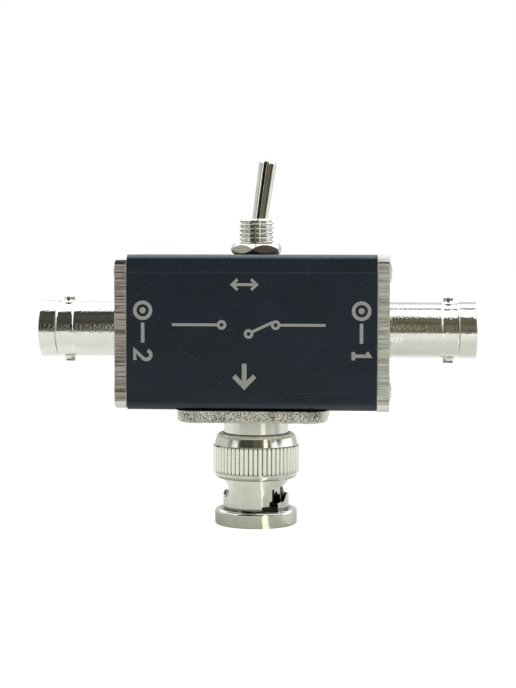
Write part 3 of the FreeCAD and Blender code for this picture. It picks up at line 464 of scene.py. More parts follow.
def cast(name, colour, neck_colour, tints, smooth_below, top, half):
    """Plated rough casting: sparkling grains over darker, brownish hollows. A painted highlight lies along
    the bottom edge, where its rounding mirrors the floor, and the corners `half` from the middle are rubbed
    smooth and bright; both carry less grain. Painted shadow darkens the seam at its `top`. Below the given
    height, in millimetres, it is turned smooth."""
    material, r = recipe(name)
    wide = r.noise(0.35, 2.0)
    coarse = r.noise(3.8, 3.0, 0.68)
    fine = r.noise(7.0, 3.0, 0.7)
    x, _, up = r.axes()
    raw = r.ramp(up, smooth_below - 0.2, smooth_below - 0.05)
    # Painted highlight along the bottom rounding, where it mirrors the floor; the corners are rubbed smooth.
    bottom_highlight = r.fade(up, smooth_below + 0.15, smooth_below + 0.5, 0.8)
    corner = r.ramp(r.step("ABSOLUTE", x), half - 1.6, half - 0.5, 0.0, 0.75)
    rubbed_and_highlit = r.times(r.step("MAXIMUM", bottom_highlight, corner), r.ramp(wide, 0.3, 0.55, 0.35, 1.0))
    grains = r.times(raw, r.less(r.times(rubbed_and_highlit, 0.8)))
    height = r.times(r.step("ADD", coarse, r.times(fine, 0.6)), grains)
    base = r.blend(r.ramp(coarse, 0.39, 0.54), srgb(70, 68, 60), colour)
    base = r.tinted(base, r.noise(0.8, 2.0), tints, (0.6, 0.6))
    base = r.blend(r.fade(wide, 0.3, 0.5, 0.3), base, srgb(70, 70, 62))
    base = r.blend(rubbed_and_highlit, base, colour)
    # Painted shadow in the seam under the housing.
    base = r.blend(r.ramp(up, top - 0.2, top - 0.08, 0.0, 0.95), base, srgb(2, 2, 2))
    rings = r.noise((0.2, 0.2, 9.0), 3.0)
    neck = r.blend(rings, toned(neck_colour, 0.9), neck_colour)
    rough = r.step("ADD", r.times(r.ramp(fine, 0.3, 0.7, 0.02, 0.24), raw), 0.14)
    r.surface(r.blend(raw, neck, base), rough, 1.0, r.bump(height, 0.26))
    return material


def moulded(name, colour, rough, grain_depth=0.01):
    """Moulded plastic or rubber: faint mottle and a fine matt grain."""
    material, r = recipe(name)
    mottle = r.noise(0.6, 3.0)
    fine = r.noise(6.0, 3.0)
    base = r.blend(r.ramp(mottle, 0.3, 0.7), toned(colour, 0.8), colour)
    r.surface(base, r.ramp(fine, 0.3, 0.7, rough - 0.08, rough + 0.1), 0.0, r.bump(fine, grain_depth))
    return material


def engraved_paint(name, colour):
    """Grey marking: laser-frosted metal with a fine, cloudy grain."""
    material, r = recipe(name)
    fine = r.noise(8.0, 3.0, 0.7)
    base = r.blend(r.ramp(fine, 0.35, 0.65), toned(colour, 0.72), colour)
    r.surface(base, 0.6, 0.0, r.bump(fine, 0.01))
    return material


NICKEL = srgb(246, 247, 243)
STEEL = srgb(196, 195, 192)
# Dark and bright colour of the left end plate, then of the right one
SAWN_TONES = (srgb(92, 82, 78), srgb(186, 180, 170), srgb(150, 150, 138), srgb(204, 206, 193))
# Faint warm and green casts of plating over rough metal
SAWN_TINTS = (srgb(214, 196, 206), srgb(206, 214, 196))
CAST_TINTS = (srgb(240, 208, 196), srgb(206, 226, 196))
# Painted shade and highlights of the coupling nut: two heights and two radii in millimetres, and two shares
KNURL_SHADE_AND_HIGHLIGHT = (9.1, 13.45, 7.15, 7.36, 0.6, 0.8)
KNURL_TOP_SHADE = (13.15, 13.6, 7.2, 7.36, 0.9, 0.0)
KNURL_FOOT_SHADE = (9.0, 9.4, 7.2, 7.36, 0.9, 0.0)
REAR_HOLE_SHADOW = (15.3, 15.8, 6.2, 6.5, 0.85, 0.0)
RING_GROOVE_SHADE = (2.3, 3.1, 5.9, 6.2, 0.85, 0.0)
SLEEVE_BORE_SHADE = (2.7, 8.5, 5.42, 5.52, 0.85, 0.0)


def finish_table():
    """One material for every slot of the record, and one for the markings."""
    finish = bpy.context.scene.switch_finish
    housing, nickel = (*finish.housing_colour, 1.0), (*finish.nickel_colour, 1.0)
    housing_box = node_range("housing")
    flange_low, flange_high, _, _ = node_slice("plug_flange", reach=FLANGE_REACH)
    grooves = (KNURL_SHADE_AND_HIGHLIGHT, KNURL_TOP_SHADE, KNURL_FOOT_SHADE, REAR_HOLE_SHADOW, RING_GROOVE_SHADE, SLEEVE_BORE_SHADE)
    finishes = {
        "anodised_housing": (anodised, housing, *housing_box, flange_high[0]),
        "plate_nickel": (sawn, SAWN_TONES, SAWN_TINTS, housing_box[1][0], node_range("end_plate_2"),
                         node_range("end_plate_1")),
        "screw_nickel": (plated, srgb(226, 226, 218), (0.14, 0.26), 0.004),
        "socket_nickel": (plated, nickel, (0.03, 0.07), 0.0015, 0.05, 0.024),
        "insulator_white": (moulded, srgb(236, 235, 228), 0.4),
        "contact_gold": (plated, srgb(226, 186, 104), (0.14, 0.24), 0.003),
        "washer_steel": (plated, STEEL, (0.25, 0.4), 0.006),
        "nut_nickel": (plated, srgb(206, 205, 196), (0.16, 0.28), 0.004),
        "toggle_chrome": (plated, srgb(232, 231, 224), (0.06, 0.13), 0.002),
        "lever_chrome": (plated, srgb(238, 237, 231), (0.05, 0.1), 0.0015, 0.1, 0.008),
        "frame_steel": (plated, STEEL, (0.28, 0.42), 0.006),
        "case_phenolic": (moulded, srgb(46, 38, 34), 0.5, 0.02),
        "terminal_silver": (plated, srgb(224, 222, 214), (0.2, 0.34), 0.004),
        "plunger_plastic": (moulded, srgb(226, 222, 206), 0.42),
        "spring_steel": (plated, srgb(176, 176, 176), (0.22, 0.34), 0.003),
        "cast_nickel": (cast, srgb(248, 249, 240), srgb(222, 223, 217), CAST_TINTS, flange_low[2],
                        flange_high[2], flange_high[0]),
        "plug_nickel": (plated, srgb(226, 226, 218), (0.1, 0.18), 0.0015),
        "coupling_nickel": (plated, srgb(226, 227, 219), (0.08, 0.16), 0.0015, 0.08, 0.0, grooves),
        "gasket_rubber": (moulded, srgb(150, 62, 46), 0.6),
        "wire_copper": (plated, srgb(204, 126, 88), (0.22, 0.34), 0.003),
        "marking": (engraved_paint, (*finish.marking_colour, 1.0)),
    }
    return {name: make(name, *values) for name, (make, *values) in finishes.items()}


# Filled by main, once the scene has the properties that hold the colours
MATERIALS = {}
SLOT_OF = {part["node"]: part["material_slot"] for part in frame["record"]["subparts"]}


def dress(nodes):
    """Gives frame nodes the material of their slot."""
    for node in nodes:
        piece = frame["nodes"][node]
        piece.data.materials.clear()
        piece.data.materials.append(MATERIALS[SLOT_OF[node]])


# Sizes that a user may change


class SwitchFinish(bpy.types.PropertyGroup):
    """Colours of the finishes."""

    housing_colour: FloatVectorProperty(name="Housing", description="Colour of the anodised housing",
                                        subtype="COLOR", size=3, min=0, max=1, default=srgb(22, 31, 39)[:3])
    nickel_colour: FloatVectorProperty(name="Nickel", description="Colour of the bright nickel plating",
                                       subtype="COLOR", size=3, min=0, max=1, default=NICKEL[:3])
    marking_colour: FloatVectorProperty(name="Markings", description="Colour of the numbers and lines",
                                        subtype="COLOR", size=3, min=0, max=1,
                                        default=srgb(146, 145, 140)[:3])


class SwitchMarkings(bpy.types.PropertyGroup):
    """Numbers and lines on the housing's front."""

    number_height: FloatProperty(name="Number height", description="Height of the port numbers",
                                 unit="LENGTH", default=3.1 * MM)
    stroke: FloatProperty(name="Stroke", description="Width of the numbers' strokes", unit="LENGTH",
                          default=0.58 * MM)
    thickness: FloatProperty(name="Thickness", description="How far the markings stand off the housing",
                             unit="LENGTH", default=0.02 * MM)


class SwitchToggle(bpy.types.PropertyGroup):
    """Thread of the toggle's bushing."""

    pitch: FloatProperty(name="Pitch", description="Rise of the thread in one turn", unit="LENGTH",
                         default=0.75 * MM)
    depth: FloatProperty(name="Depth", description="Depth of the thread", unit="LENGTH", default=0.34 * MM)
    columns: IntProperty(name="Columns", description="Grid columns around the bushing", default=120, min=24)


class SwitchFlange(bpy.types.PropertyGroup):
    """Cast flange of the plug."""

    corner: FloatProperty(name="Corner radius", description="Radius of the flange's corners", unit="LENGTH",
                          default=3.0 * MM)
    roughness: FloatProperty(name="Casting roughness", description="Height of the rim's grains",
                             unit="LENGTH", default=0.07 * MM)


class SwitchStudio(bpy.types.PropertyGroup):
    """Floor, lamps and camera."""

    distance: FloatProperty(name="Distance", description="Camera distance from the plug's axis",
                            unit="LENGTH", default=278 * MM)
    azimuth: FloatProperty(name="Azimuth", description="Camera angle from straight ahead, to the right",
                           subtype="ANGLE", default=math.radians(3.9))
    height: FloatProperty(name="Height", description="Camera height above the floor", unit="LENGTH",
                          default=46.2 * MM)
    lamp_power: FloatProperty(name="Lamps", description="Power of each soft lamp", unit="POWER", default=2.0)


# Pieces


def thread_depth(angles, heights, pitch, depth):
    """Depth below the crest of a single-start thread with round crests and roots: the phase is height / pitch
    less the turns made, and the depth follows 0.5 - 0.5 cos(2 pi phase)."""
    phase = heights[:, None] / pitch - angles / (2 * np.pi)
    return depth * (0.5 - 0.5 * np.cos(2 * np.pi * phase))


def bushing_surface(columns, pitch, depth):
    """Threaded bushing. Its outer wall has radius = crest - thread depth, eased in above the undercut and cut
    by the chamfer at the top; its bore has a flared mouth, a ball seat and a relief around the cross pin."""
    low, high, _, crest = node_slice("toggle_bushing")
    bottom, top = low[2], high[2]
    angles = circle_angles(columns)
    rows_per_turn, ease, chamfer, slope = 14, 0.5, 0.42, 1.1
    tail, tail_top, undercut, shank = 2.7, bottom + 0.4, 2.6, bottom + 1.2
    heights = np.arange(shank + 0.1, top - 0.02, pitch / rows_per_turn)
    share = np.clip((heights - heights[0]) / ease, 0, 1)[:, None]
    radius = crest - thread_depth(angles, heights, pitch, depth) * share
    radius = np.minimum(radius, crest - chamfer + (top - heights[:, None]) * slope)
    wall = np.stack([radius * np.cos(angles), radius * np.sin(angles),
                     np.broadcast_to(heights[:, None], radius.shape)], axis=-1)
    bore, mouth, throat, seat, relief = 2.0, 2.15, 1.58, 1.86, 2.28
    throat_top, pin, half = top - 2.8, top - 4.1, 0.7
    seat_top, seat_bottom, bore_top = pin + 1.0, pin - 2.5, pin - 2.7
    below = turned([(bore, bottom), (tail, bottom), (tail, tail_top), (undercut, tail_top), (undercut, shank),
                    (crest, shank)], angles)
    inside = turned(rounded([(crest - 0.4, top - 0.005), (crest - 0.52, top, 0.05), (mouth, top, 0.06),
                             (throat, throat_top, 0.1), (throat, seat_top), (seat, seat_top),
                             (seat, pin + half), (relief, pin + half), (relief, pin - half),
                             (seat, pin - half), (seat, seat_bottom), (bore, bore_top)]), angles)
    surface = Surface()
    surface.weave(surface.put(np.concatenate([below, wall, inside])), closed=True)
    return surface


def rounded_square(half, corner, spacing):
    """Points of a square with round corners, anticlockwise and about evenly spaced, and their outward
    directions: straight sides and quarter circles follow one another by their length."""
    side, quarter = 2 * (half - corner), corner * np.pi / 2
    steps = int(round((side + quarter) / spacing))
    run = np.arange(steps) / steps * (side + quarter)
    along = np.minimum(run, side) - side / 2
    turn = np.maximum(run - side, 0) / corner
    ahead = np.stack([np.cos(turn), np.sin(turn)])
    place = np.stack([np.full(steps, half - corner), along]) + corner * ahead
    points, outward = [], []
    for k in range(4):
        c, s = round(math.cos(k * math.pi / 2)), round(math.sin(k * math.pi / 2))
        quarter_turn = np.array([[c, -s], [s, c]])
        points.append((quarter_turn @ place).T)
        outward.append((quarter_turn @ ahead).T)
    return np.concatenate(points), np.concatenate(outward)


def rough_rim(half, bottom, top, corner, roughness):
    """Rows of points of the flange's rim: a profile of (inset, height) carried along the rounded square and
    moved outwards by two sizes of grain. The grain ends a little way in from the edge and under the top."""
    low_round, high_round, side_rows, spacing = 0.5, 0.25, 12, 0.11
    low_inset, high_inset, skin = 2.0, 1.2, 0.02
    shape = rounded([(low_inset, bottom), (0.0, bottom, low_round), (0.0, top, high_round),
                     (high_inset, top)], hold=0.05)
    middle = len(shape) // 2
    fill = np.linspace(0, 1, side_rows)[1:-1, None]
    side = shape[middle - 1] + fill * (shape[middle] - shape[middle - 1])
    shape = np.concatenate([shape[:middle], side, shape[middle:]])
    inset, height = shape.T
    outline, outward = rounded_square(half - skin, corner, spacing)
    flat_xy = outline[None] - outward[None] * inset[:, None, None]
    rim = np.concatenate([flat_xy, np.broadcast_to(height[:, None, None], flat_xy.shape[:2] + (1,))], axis=-1)
    coarse, fine = grain(rim, 0.34, seed=3), grain(rim, 0.15, seed=5)
    sunk, edge_width, top_gap, top_ease = 0.6, 0.6, 0.05, 0.3
    held = np.clip(1 - inset / edge_width, 0, 1) * np.clip((top - top_gap - height) / top_ease, 0, 1)
    lift = (coarse * 0.62 + fine * 0.38 - sunk) * roughness * held[:, None]
    rim[..., :2] += outward[None] * lift[..., None]
    return rim


def flange_surface(corner, roughness):
    """Cast flange: its rough rim, flat faces inside it, four countersunk holes, and the neck and spigot
    turned about Z."""
    plate_low, plate_high, _, _ = node_slice("plug_flange", reach=FLANGE_REACH)
    half, bottom, top = plate_high[0], plate_low[2], plate_high[2]
    neck_bottom, spigot_top = (end[2] for end in node_slice("plug_flange")[:2])
    _, _, neck_bore, neck_radius = node_slice("plug_flange", high=neck_bottom + 0.1)
    _, _, bore, spigot = node_slice("plug_flange", low=top + 0.1)
    surface = Surface()
    rim = surface.put(rough_rim(half, bottom, top, corner, roughness))
    surface.weave(rim)
    screw_head, countersink, shank, sink = 2.75, 2.78, 1.57, 1.3
    offset = node_range("flange_screws")[1][0] - screw_head
    angles = circle_angles(40)
    screw_holes = []
    for x, y in ((-offset, -offset), (offset, -offset), (-offset, offset), (offset, offset)):
        hole = [(countersink, bottom), (shank, bottom + sink), (shank, top)]
        wall = surface.put(turned(hole, angles, (x, y)))
        surface.weave(wall[::-1])
        screw_holes.append(wall)
    ledge, fillet = bottom + 1.1, 0.25
    neck = turned(rounded([(spigot, top), (spigot, spigot_top, 0.2), (bore, spigot_top), (bore, ledge),
                           (neck_bore, ledge), (neck_bore, neck_bottom), (neck_radius, neck_bottom, 0.1),
                           (neck_radius, bottom, fillet), (neck_radius + 0.5, bottom)]), circle_angles(128))
    rows = surface.put(neck)
    surface.weave(rows)
    surface.flat(rim[0], [*(wall[0] for wall in screw_holes), rows[-1]], upwards=False)
    surface.flat(rim[-1], [*(wall[-1] for wall in screw_holes), rows[0]], upwards=True)
    return surface


def spring_surface(sheet, waves):
    """Two wave washers, crest to crest, between the heights of the spring's node: four borders run around the
    axis, and all have the height middle + swing sin(waves angle), the second washer in the opposite sense."""
    low, high, inner, outer = node_slice("wave_spring")
    tall = (high[2] - low[2]) / 2
    swing = (tall - sheet) / 2
    angles = circle_angles(144)
    section = [(inner, -sheet / 2), (outer, -sheet / 2), (outer, sheet / 2), (inner, sheet / 2)]
    surface = Surface()
    for middle, sense in ((low[2] + tall / 2, 1), (high[2] - tall / 2, -1)):
        borders = turned(section, angles)
        borders[..., 2] += middle + sense * swing * np.sin(waves * angles)
        surface.weave(surface.put(borders), closed=True)
    return surface


def ribbon(surface, path, width, thickness, closed=False):
    """Flat strip along a path of (across, up) points on the front face: at each point the border stands half
    the width to each side along the mitre of its two neighbours, and the strip has the stated thickness."""
    path = np.asarray(path, float)
    ahead = np.roll(path, -1, axis=0) - path
    behind = path - np.roll(path, 1, axis=0)
    if not closed:
        ahead[-1], behind[0] = behind[-1], ahead[0]
    ahead /= np.linalg.norm(ahead, axis=1)[:, None]
    behind /= np.linalg.norm(behind, axis=1)[:, None]
    mitre = ahead + behind
    mitre /= np.linalg.norm(mitre, axis=1)[:, None]
    side = np.stack([-mitre[:, 1], mitre[:, 0]], axis=-1)
    sharpest, rooted = 0.5, 0.01
    reach = width / 2 / np.maximum((mitre * ahead).sum(axis=1), sharpest)
    left, right = path + side * reach[:, None], path - side * reach[:, None]
    front = node_range("housing")[0][1]
    under, face = front + rooted, front - thickness
    corners = [np.insert(border, 1, depth, axis=1)
               for border, depth in ((right, under), (right, face), (left, face), (left, under))]
    strip = surface.put(np.stack(corners, axis=1))
    surface.weave(strip, closed=closed)
    if not closed:
        surface.faces.append(strip[:1, ::-1])
        surface.faces.append(strip[-1:])


def arc(centre, radius, start, end, count=18):
    """Points of an arc, its angles in degrees anticlockwise from the right."""
    turn = np.radians(np.linspace(start, end, count))
    return np.stack([centre[0] + radius * np.cos(turn), centre[1] + radius * np.sin(turn)], axis=-1)


def ring(centre, radius, count=24):
    """Points of a whole circle, the first one not repeated."""
    return arc(centre, radius, 0, 360 - 360 / count, count)


def digit(number):
    """Stroke paths of the digits 1 and 2 in a cell one unit high, its origin at the cell's centre."""
    if number == 1:
        return [[(-0.2, 0.28), (0.0, 0.42), (0.0, -0.42)], [(-0.22, -0.42), (0.22, -0.42)]]
    bowl = arc((0.0, 0.19), 0.24, 165, -40)
    return [np.concatenate([bowl, [(-0.25, -0.42), (0.27, -0.42)]])]


# Thickness of a stroke that runs under another one, as a share of the other's
UNDER = 0.8


def port_mark(surface, number, x, centre, size, stroke, thickness):
    """Mark of a port, turned a quarter clockwise: a ring with a dot for the socket, a dash and the number,
    laid out in shares of the number's height."""

    def lay(path, width=stroke, closed=False, share=1.0):
        path = np.asarray(path) * size
        laid = np.stack([x + path[:, 1], centre - path[:, 0]], axis=-1)
        ribbon(surface, laid, width, thickness * share, closed)

    socket, number_place, dot_width = (-1.2, 0.0), (1.15, 0.0), 0.15
    lay(ring(socket, 0.42), closed=True)
    lay(ring(socket, 0.09, 8), dot_width * size, closed=True)
    lay([(-0.55, 0.0), (0.5, 0.0)])
    for share, path in zip((1.0, UNDER), digit(number)):
        lay(np.asarray(path) + number_place, share=share)


def change_over_mark(surface, x, z, stroke, thickness):
    """Change-over switch: a contact with its line on each side, and a lever from the middle contact to the
    right one."""
    contact, spread, lift, line_end = 0.55, 4.4, 0.7, 12.5
    for side in (-1, 1):
        ribbon(surface, ring((x + side * spread, z + lift), contact), stroke, thickness, closed=True)
        line = [(x + side * (spread + contact), z + lift), (x + side * line_end, z + lift)]
        ribbon(surface, line, stroke, thickness * UNDER)
    ribbon(surface, ring((x, z - 0.75), contact), stroke, thickness, closed=True)
    ribbon(surface, [(x + 0.5, z - 0.45), (x + 3.95, z + 1.15)], stroke, thickness * UNDER)


def two_way_arrow(surface, x, z, stroke, thickness):
    """Line along X with an arrowhead at each end."""
    shaft, tip, barb, spread = 1.7, 2.0, 1.1, 0.85
    ribbon(surface, [(x - shaft, z), (x + shaft, z)], stroke, thickness * UNDER)
    for side in (-1, 1):
        head = [(x + side * barb, z + spread), (x + side * tip, z), (x + side * barb, z - spread)]
        ribbon(surface, head, stroke, thickness)


def down_arrow(surface, x, z, stroke, thickness):
    """Upright line with an arrowhead at its foot."""
    shaft_top, shaft_foot, tip, spread = 2.0, 1.4, 1.75, 1.7
    ribbon(surface, [(x, z + shaft_top), (x, z - shaft_foot)], stroke, thickness * UNDER)
    ribbon(surface, [(x - spread, z), (x, z - tip), (x + spread, z)], stroke, thickness)


def markings_surface(size, stroke, thickness):
    """Port marks at the sides, a change-over switch drawn between the ports, a two-way arrow under the toggle
    and a bold down arrow above the plug."""
    low, high = node_range("housing")
    centre = (low[2] + high[2]) / 2
    thin, bold = stroke * 0.8, stroke * 1.35
    surface = Surface()
    for number, x in ((1, 17.9), (2, -17.7)):
        port_mark(surface, number, x, centre - 0.1, size, stroke, thickness)
    change_over_mark(surface, -0.4, centre + 0.6, thin, thickness)
    arrows_x = -1.1
    two_way_arrow(surface, arrows_x, centre + 7.85, thin, thickness)
    down_arrow(surface, arrows_x, centre - 7.0, bold, thickness)
    return surface


class DressHousing(bpy.types.Operator):
    """Anodises the housing and plates the end plates and their screws."""

    bl_idname = "switch.dress_housing"
    bl_label = "Housing and end plates"

    def execute(self, context):
        dress(["housing", "end_plate_1", "end_plate_2", "plate_screws_1", "plate_screws_2"])
        return {"FINISHED"}


class DressSockets(bpy.types.Operator):
    """Plates both sockets and finishes what they hold."""

    bl_idname = "switch.dress_sockets"
    bl_label = "Sockets"

    def execute(self, context):
        kinds = ("shell", "insulator", "contact", "lock_washer", "nut")
        dress([node for node in frame["nodes"] if node.startswith("socket_") and node.endswith(kinds)])
        return {"FINISHED"}


class BuildToggle(bpy.types.Operator):
    """Cuts the bushing's thread and finishes the toggle switch."""

    bl_idname = "switch.build_toggle"
    bl_label = "Toggle switch"

    def execute(self, context):
        toggle = context.scene.switch_toggle
        surface = bushing_surface(toggle.columns, toggle.pitch / MM, toggle.depth / MM)
        place_piece("threaded_bushing", surface, MATERIALS["toggle_chrome"], "root",
                    ["toggle_bushing"])
        dress([node for node in frame["nodes"]
               if node.startswith(("toggle_", "terminal_")) or node == "contact_rocker"])
        return {"FINISHED"}


class BuildFlange(bpy.types.Operator):
    """Casts the flange and finishes its screws."""

    bl_idname = "switch.build_flange"
    bl_label = "Plug flange"

    def execute(self, context):
        flange = context.scene.switch_flange
        surface = flange_surface(flange.corner / MM, flange.roughness / MM)
        place_piece("cast_flange", surface, MATERIALS["cast_nickel"], "root",
                    ["plug_flange"])
        dress(["plug_flange", "flange_screws"])
        return {"FINISHED"}


class DressPlug(bpy.types.Operator):
    """Plates the plug, finishes what it holds and lays the wave washers under the coupling nut's lip."""

    bl_idname = "switch.dress_plug"
    bl_label = "Plug and coupling nut"

    def execute(self, context):
        dress(["coupling_nut", "plug_shell", "plug_outer_contact", "plug_insulator", "plug_pin",
               "plug_gasket", "thrust_washer", "wave_spring", "wire_common", "wire_1", "wire_2"])
        surface = spring_surface(sheet=0.25, waves=3)
        spring = place_piece("wave_washers", surface, MATERIALS["spring_steel"], "root",
                             ["wave_spring"])
        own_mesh(spring)
        return {"FINISHED"}


class BuildMarkings(bpy.types.Operator):
    """Lays the port numbers and the switch diagram on the housing."""

    bl_idname = "switch.build_markings"
    bl_label = "Markings"

    def execute(self, context):
        marks = context.scene.switch_markings
        surface = markings_surface(marks.number_height / MM, marks.stroke / MM, marks.thickness / MM)
        place_piece("port_markings", surface, MATERIALS["marking"], "root")
        return {"FINISHED"}


# Studio

# In this section a bearing is an angle from straight ahead to the right and a climb one from level, in
# radians. Places and distances are in metres.


def floor_material():
    """Pale floor. The camera sees it white with the object's shadow; polished metal sees a round table with a
    dark room beyond its front and right. The table is greyer in front of the object and under its right
    front, has a painted contact shadow close to the plug, and has a warm strip of lamp light, left out below
    the right socket."""
    material, r = recipe("pale_floor")
    x, y, _ = r.parts(r.place)
    ahead = r.step("MULTIPLY", y, -1.0)
    bearing = r.step("ARCTAN2", x, ahead)
    distance = r.add("ShaderNodeVectorMath", {0: r.place}, operation="LENGTH").outputs[1]
    front = r.band(bearing, -1.75, -1.15, 0.8, 1.3)
    table = r.blend(front, srgb(252, 252, 248), srgb(226, 227, 219))
    right_front = r.times(r.ramp(x, 0.02, 0.024), r.band(ahead, -0.03, 0.0, 0.035, 0.055))
    table = r.blend(right_front, table, srgb(214, 216, 207))
    # Painted contact shadow close to the plug, in the floor colour that metal mirrors.
    contact_shadow = r.times(r.fade(distance, 0.016, 0.03, 0.6), r.ramp(bearing, 1.0, 1.35, 1.0, 0.25))
    table = r.blend(contact_shadow, table, srgb(178, 178, 162))
    beyond = r.blend(r.ramp(bearing, 0.6, 0.95), srgb(112, 108, 98), srgb(80, 77, 66))
    off_table = r.times(r.band(bearing, -1.05, -0.9, 1.4, 1.58), r.ramp(distance, 0.184, 0.198))
    root_x, root_ahead = 0.0002, 0.0029
    from_root = r.step("ARCTAN2", r.step("SUBTRACT", x, root_x), r.step("SUBTRACT", ahead, root_ahead))
    strip = r.band(from_root, 0.33, 0.37, 0.56, 0.7)
    under_socket = r.band(x, 0.0218, 0.0228, 0.049, 0.052)
    lit = r.times(strip, r.less(r.step("MAXIMUM", under_socket, off_table)))
    glow = r.shader("ShaderNodeEmission", (1.0, 0.95, 0.75, 1), r.times(lit, 0.9))
    ground = r.shader("ShaderNodeBsdfDiffuse", r.blend(off_table, table, beyond))
    lift = r.shader("ShaderNodeEmission", (1, 1, 1, 1), 0.8)
    shadowed = r.shader("ShaderNodeBsdfDiffuse", (0.32, 0.32, 0.32, 1))
    r.by_ray(camera=r.shader("ShaderNodeAddShader", shadowed, lift),
             mirrored=r.shader("ShaderNodeAddShader", ground, glow),
             other=r.shader("ShaderNodeBsdfDiffuse", srgb(240, 240, 238)))
    return material


def room_colour(r, bearing, climb, mottle):
    """Dim room in front: brownish near the floor, nearly black low on the left, darker far to the right, and
    with an upright pale gap just left of the middle."""
    left = r.blend(mottle, srgb(58, 58, 54), srgb(80, 79, 72))
    right = r.blend(mottle, srgb(82, 78, 64), srgb(116, 111, 94))
    room = r.blend(r.ramp(bearing, -0.16, 0.02), left, right)
    room = r.blend(r.fade(climb, 0.0, 0.05, 0.6), room, srgb(78, 60, 52))
    low = r.fade(climb, 0.3, 0.4)
    on_left = r.times(low, r.fade(bearing, -0.26, -0.2))
    far_right = r.times(low, r.ramp(bearing, 0.7, 0.95, 0.0, 0.5))
    room = r.blend(r.step("MAXIMUM", on_left, far_right), room, srgb(26, 26, 24))
    gap = r.times(low, r.band(bearing, -0.13, -0.1, -0.05, -0.02))
    return r.blend(gap, room, srgb(216, 212, 194))


def ceiling_colour(r, direction, bearing, climb, over, mottle):
    """Bright ceiling that comes down to the floor at the sides: greyer low behind, with a dark batten
    overhead, a grey wall low on the left and a darker panel in that wall. `over` is the angle from straight
    ahead over the top, and `direction` the parts of the view along X and straight ahead."""
    x, forward = direction
    overhead = r.band(x, -0.03, 0.0, 0.13, 0.2)
    lowered = r.step("SUBTRACT", climb, r.times(overhead, 0.4))
    behind = r.times(r.fade(forward, -0.75, -0.4), r.fade(lowered, 0.35, 0.5))
    ceiling = r.blend(behind, (1.45, 1.46, 1.45, 1), (0.64, 0.67, 0.7, 1))
    batten = r.times(r.band(over, 1.62, 1.67, 1.84, 1.89), overhead, r.ramp(mottle, 0.2, 0.5, 0.7, 1.0))
    ceiling = r.blend(batten, ceiling, (0.24, 0.24, 0.25, 1))
    low = r.fade(climb, 0.3, 0.4)
    wall = r.times(low, r.fade(bearing, -1.05, -0.98))
    ceiling = r.blend(wall, ceiling, (0.66, 0.67, 0.65, 1))
    panel = r.times(low, r.band(bearing, -1.47, -1.42, -1.24, -1.19))
    return r.blend(panel, ceiling, (0.36, 0.37, 0.31, 1))


def studio_world():
    """White studio. The camera sees plain white; polished metal sees a dim room in front, a tall warm lamp in
    it, and a bright ceiling whose edge comes lower towards the right."""
    world = bpy.data.worlds.new("studio")
    world.use_nodes = True
    r = Recipe(world.node_tree, "ShaderNodeOutputWorld")
    direction = r.add("ShaderNodeTexCoord").outputs["Generated"]
    x, y, z = r.parts(direction)
    forward = r.step("MULTIPLY", y, -1.0)
    climb = r.step("ARCSINE", z)
    bearing = r.step("ARCTAN2", x, forward)
    over = r.step("ARCTAN2", z, forward)
    mottle = r.add("ShaderNodeTexNoise", {"Vector": direction, "Scale": 5.0, "Detail": 5.0}).outputs["Fac"]
    mottle = r.ramp(mottle, 0.3, 0.7)
    slant = r.times(r.step("MINIMUM", bearing, 0.15), 1.2)
    under_ceiling = r.times(r.fade(bearing, 0.75, 0.95), r.fade(r.step("ADD", over, slant), 1.10, 1.13))
    low_right = r.times(r.fade(bearing, 1.4, 1.58), r.fade(climb, 0.2, 0.35))
    dim = r.times(r.ramp(bearing, -0.98, -0.80), r.step("MAXIMUM", under_ceiling, low_right))
    ceiling = ceiling_colour(r, (x, forward), bearing, climb, over, mottle)
    seen = r.blend(dim, ceiling, room_colour(r, bearing, climb, mottle))
    lamp = r.times(r.band(bearing, 0.43, 0.49, 0.62, 0.68), r.band(climb, -0.02, 0.02, 0.75, 0.8))
    seen = r.blend(lamp, seen, (1.7, 1.62, 1.35, 1))
    r.by_ray(camera=r.shader("ShaderNodeBackground", (1, 1, 1, 1), 1.0),
             mirrored=r.shader("ShaderNodeBackground", seen, 1.0),
             other=r.shader("ShaderNodeBackground", (1, 1, 1, 1), 0.75))
    return world


def add_floor(reach):
    """Square floor in the plane of the plug's mouth."""
    corners = [(-reach, -reach, 0), (reach, -reach, 0), (reach, reach, 0), (-reach, reach, 0)]
    mesh = bpy.data.meshes.new("floor")
    mesh.from_pydata(corners, [], [(0, 1, 2, 3)])
    floor = bpy.data.objects.new("floor", mesh)
    bpy.context.scene.collection.objects.link(floor)
    floor.data.materials.append(floor_material())


def add_lamp(name, place, size, power):
    """Square soft lamp aimed at the housing. Metal doesn't mirror it: the lamps that it shows are those of
    the world and the floor."""
    aim = Vector((0, 0, 0.03))
    lamp = bpy.data.lights.new(name, "AREA")
    lamp.size, lamp.energy = size, power
    holder = bpy.data.objects.new(name, lamp)
    holder.location = place
    holder.rotation_euler = (aim - Vector(place)).to_track_quat("-Z", "Y").to_euler()
    holder.visible_glossy = False
    bpy.context.scene.collection.objects.link(holder)


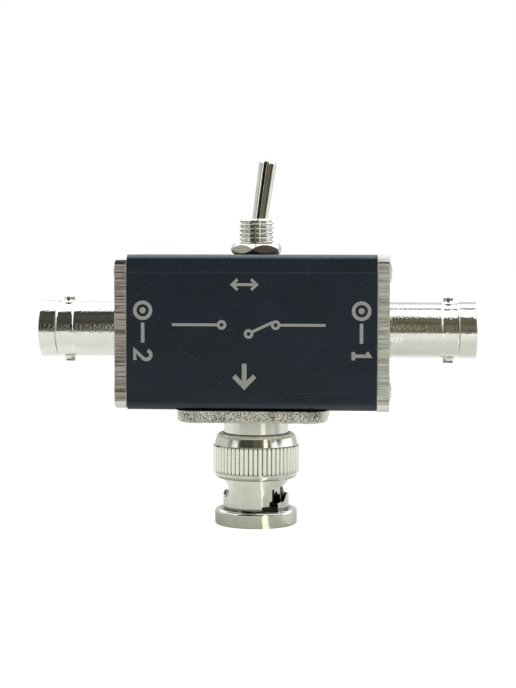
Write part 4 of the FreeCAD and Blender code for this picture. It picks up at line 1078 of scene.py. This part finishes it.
def add_camera(distance, azimuth, height):
    """Camera on a circle around the plug's axis, looking a little down and past the axis. The focal length,
    the image's long side and the two offsets from its centre are in pixels."""
    focal, long_side, sensor = 1637.0, 688.0, 36.0
    horizon_offset, axis_offset, roll = 91.8, -1.7, math.radians(0.11)
    lens = bpy.data.cameras.new("camera")
    lens.lens, lens.sensor_width = focal / long_side * sensor, sensor
    camera = bpy.data.objects.new("camera", lens)
    camera.location = (distance * math.sin(azimuth), -distance * math.cos(azimuth), height)
    pitch = math.atan(horizon_offset / focal)
    yaw = azimuth + math.atan(axis_offset / focal)
    turn = (Matrix.Rotation(yaw, 4, "Z") @ Matrix.Rotation(math.pi / 2 - pitch, 4, "X")
            @ Matrix.Rotation(roll, 4, "Z"))
    camera.rotation_euler = turn.to_euler()
    bpy.context.scene.collection.objects.link(camera)
    bpy.context.scene.camera = camera


class BuildStudio(bpy.types.Operator):
    """Lays the floor and sets the world, the lamps and the camera."""

    bl_idname = "switch.build_studio"
    bl_label = "Studio"

    def execute(self, context):
        studio = context.scene.switch_studio
        add_floor(reach=4.0)
        context.scene.world = studio_world()
        for name, place in (("softbox_left", (-0.5, -0.5, 0.6)), ("softbox_right", (0.5, -0.4, 0.7))):
            add_lamp(name, place, size=0.4, power=studio.lamp_power)
        add_camera(studio.distance, studio.azimuth, studio.height)
        context.scene.view_settings.view_transform = "Standard"
        return {"FINISHED"}


OPERATORS = (DressHousing, DressSockets, BuildToggle, BuildFlange, DressPlug, BuildMarkings, BuildStudio)
GROUPS = {"switch_finish": SwitchFinish, "switch_markings": SwitchMarkings, "switch_toggle": SwitchToggle,
          "switch_flange": SwitchFlange, "switch_studio": SwitchStudio}


class SwitchPanel(bpy.types.Panel):
    """Sizes and builders of the antenna switch."""

    bl_idname = "VIEW3D_PT_antenna_switch"
    bl_label = "Antenna switch"
    bl_space_type = "VIEW_3D"
    bl_region_type = "UI"
    bl_category = "Switch"

    def draw(self, context):
        for name, group in GROUPS.items():
            box = self.layout.box()
            for field in group.__annotations__:
                box.prop(getattr(context.scene, name), field)
        for operator in OPERATORS:
            self.layout.operator(operator.bl_idname)


def register():
    for group in GROUPS.values():
        bpy.utils.register_class(group)
    for name, group in GROUPS.items():
        setattr(bpy.types.Scene, name, PointerProperty(type=group))
    for kind in (*OPERATORS, SwitchPanel):
        bpy.utils.register_class(kind)


def unregister():
    for kind in reversed((*OPERATORS, SwitchPanel)):
        bpy.utils.unregister_class(kind)
    for name, group in GROUPS.items():
        delattr(bpy.types.Scene, name)
        bpy.utils.unregister_class(group)


def main():
    register()
    MATERIALS.update(finish_table())
    for operator in OPERATORS:
        family, name = operator.bl_idname.split(".")
        getattr(getattr(bpy.ops, family), name)()


if __name__ == "__main__":
    main()
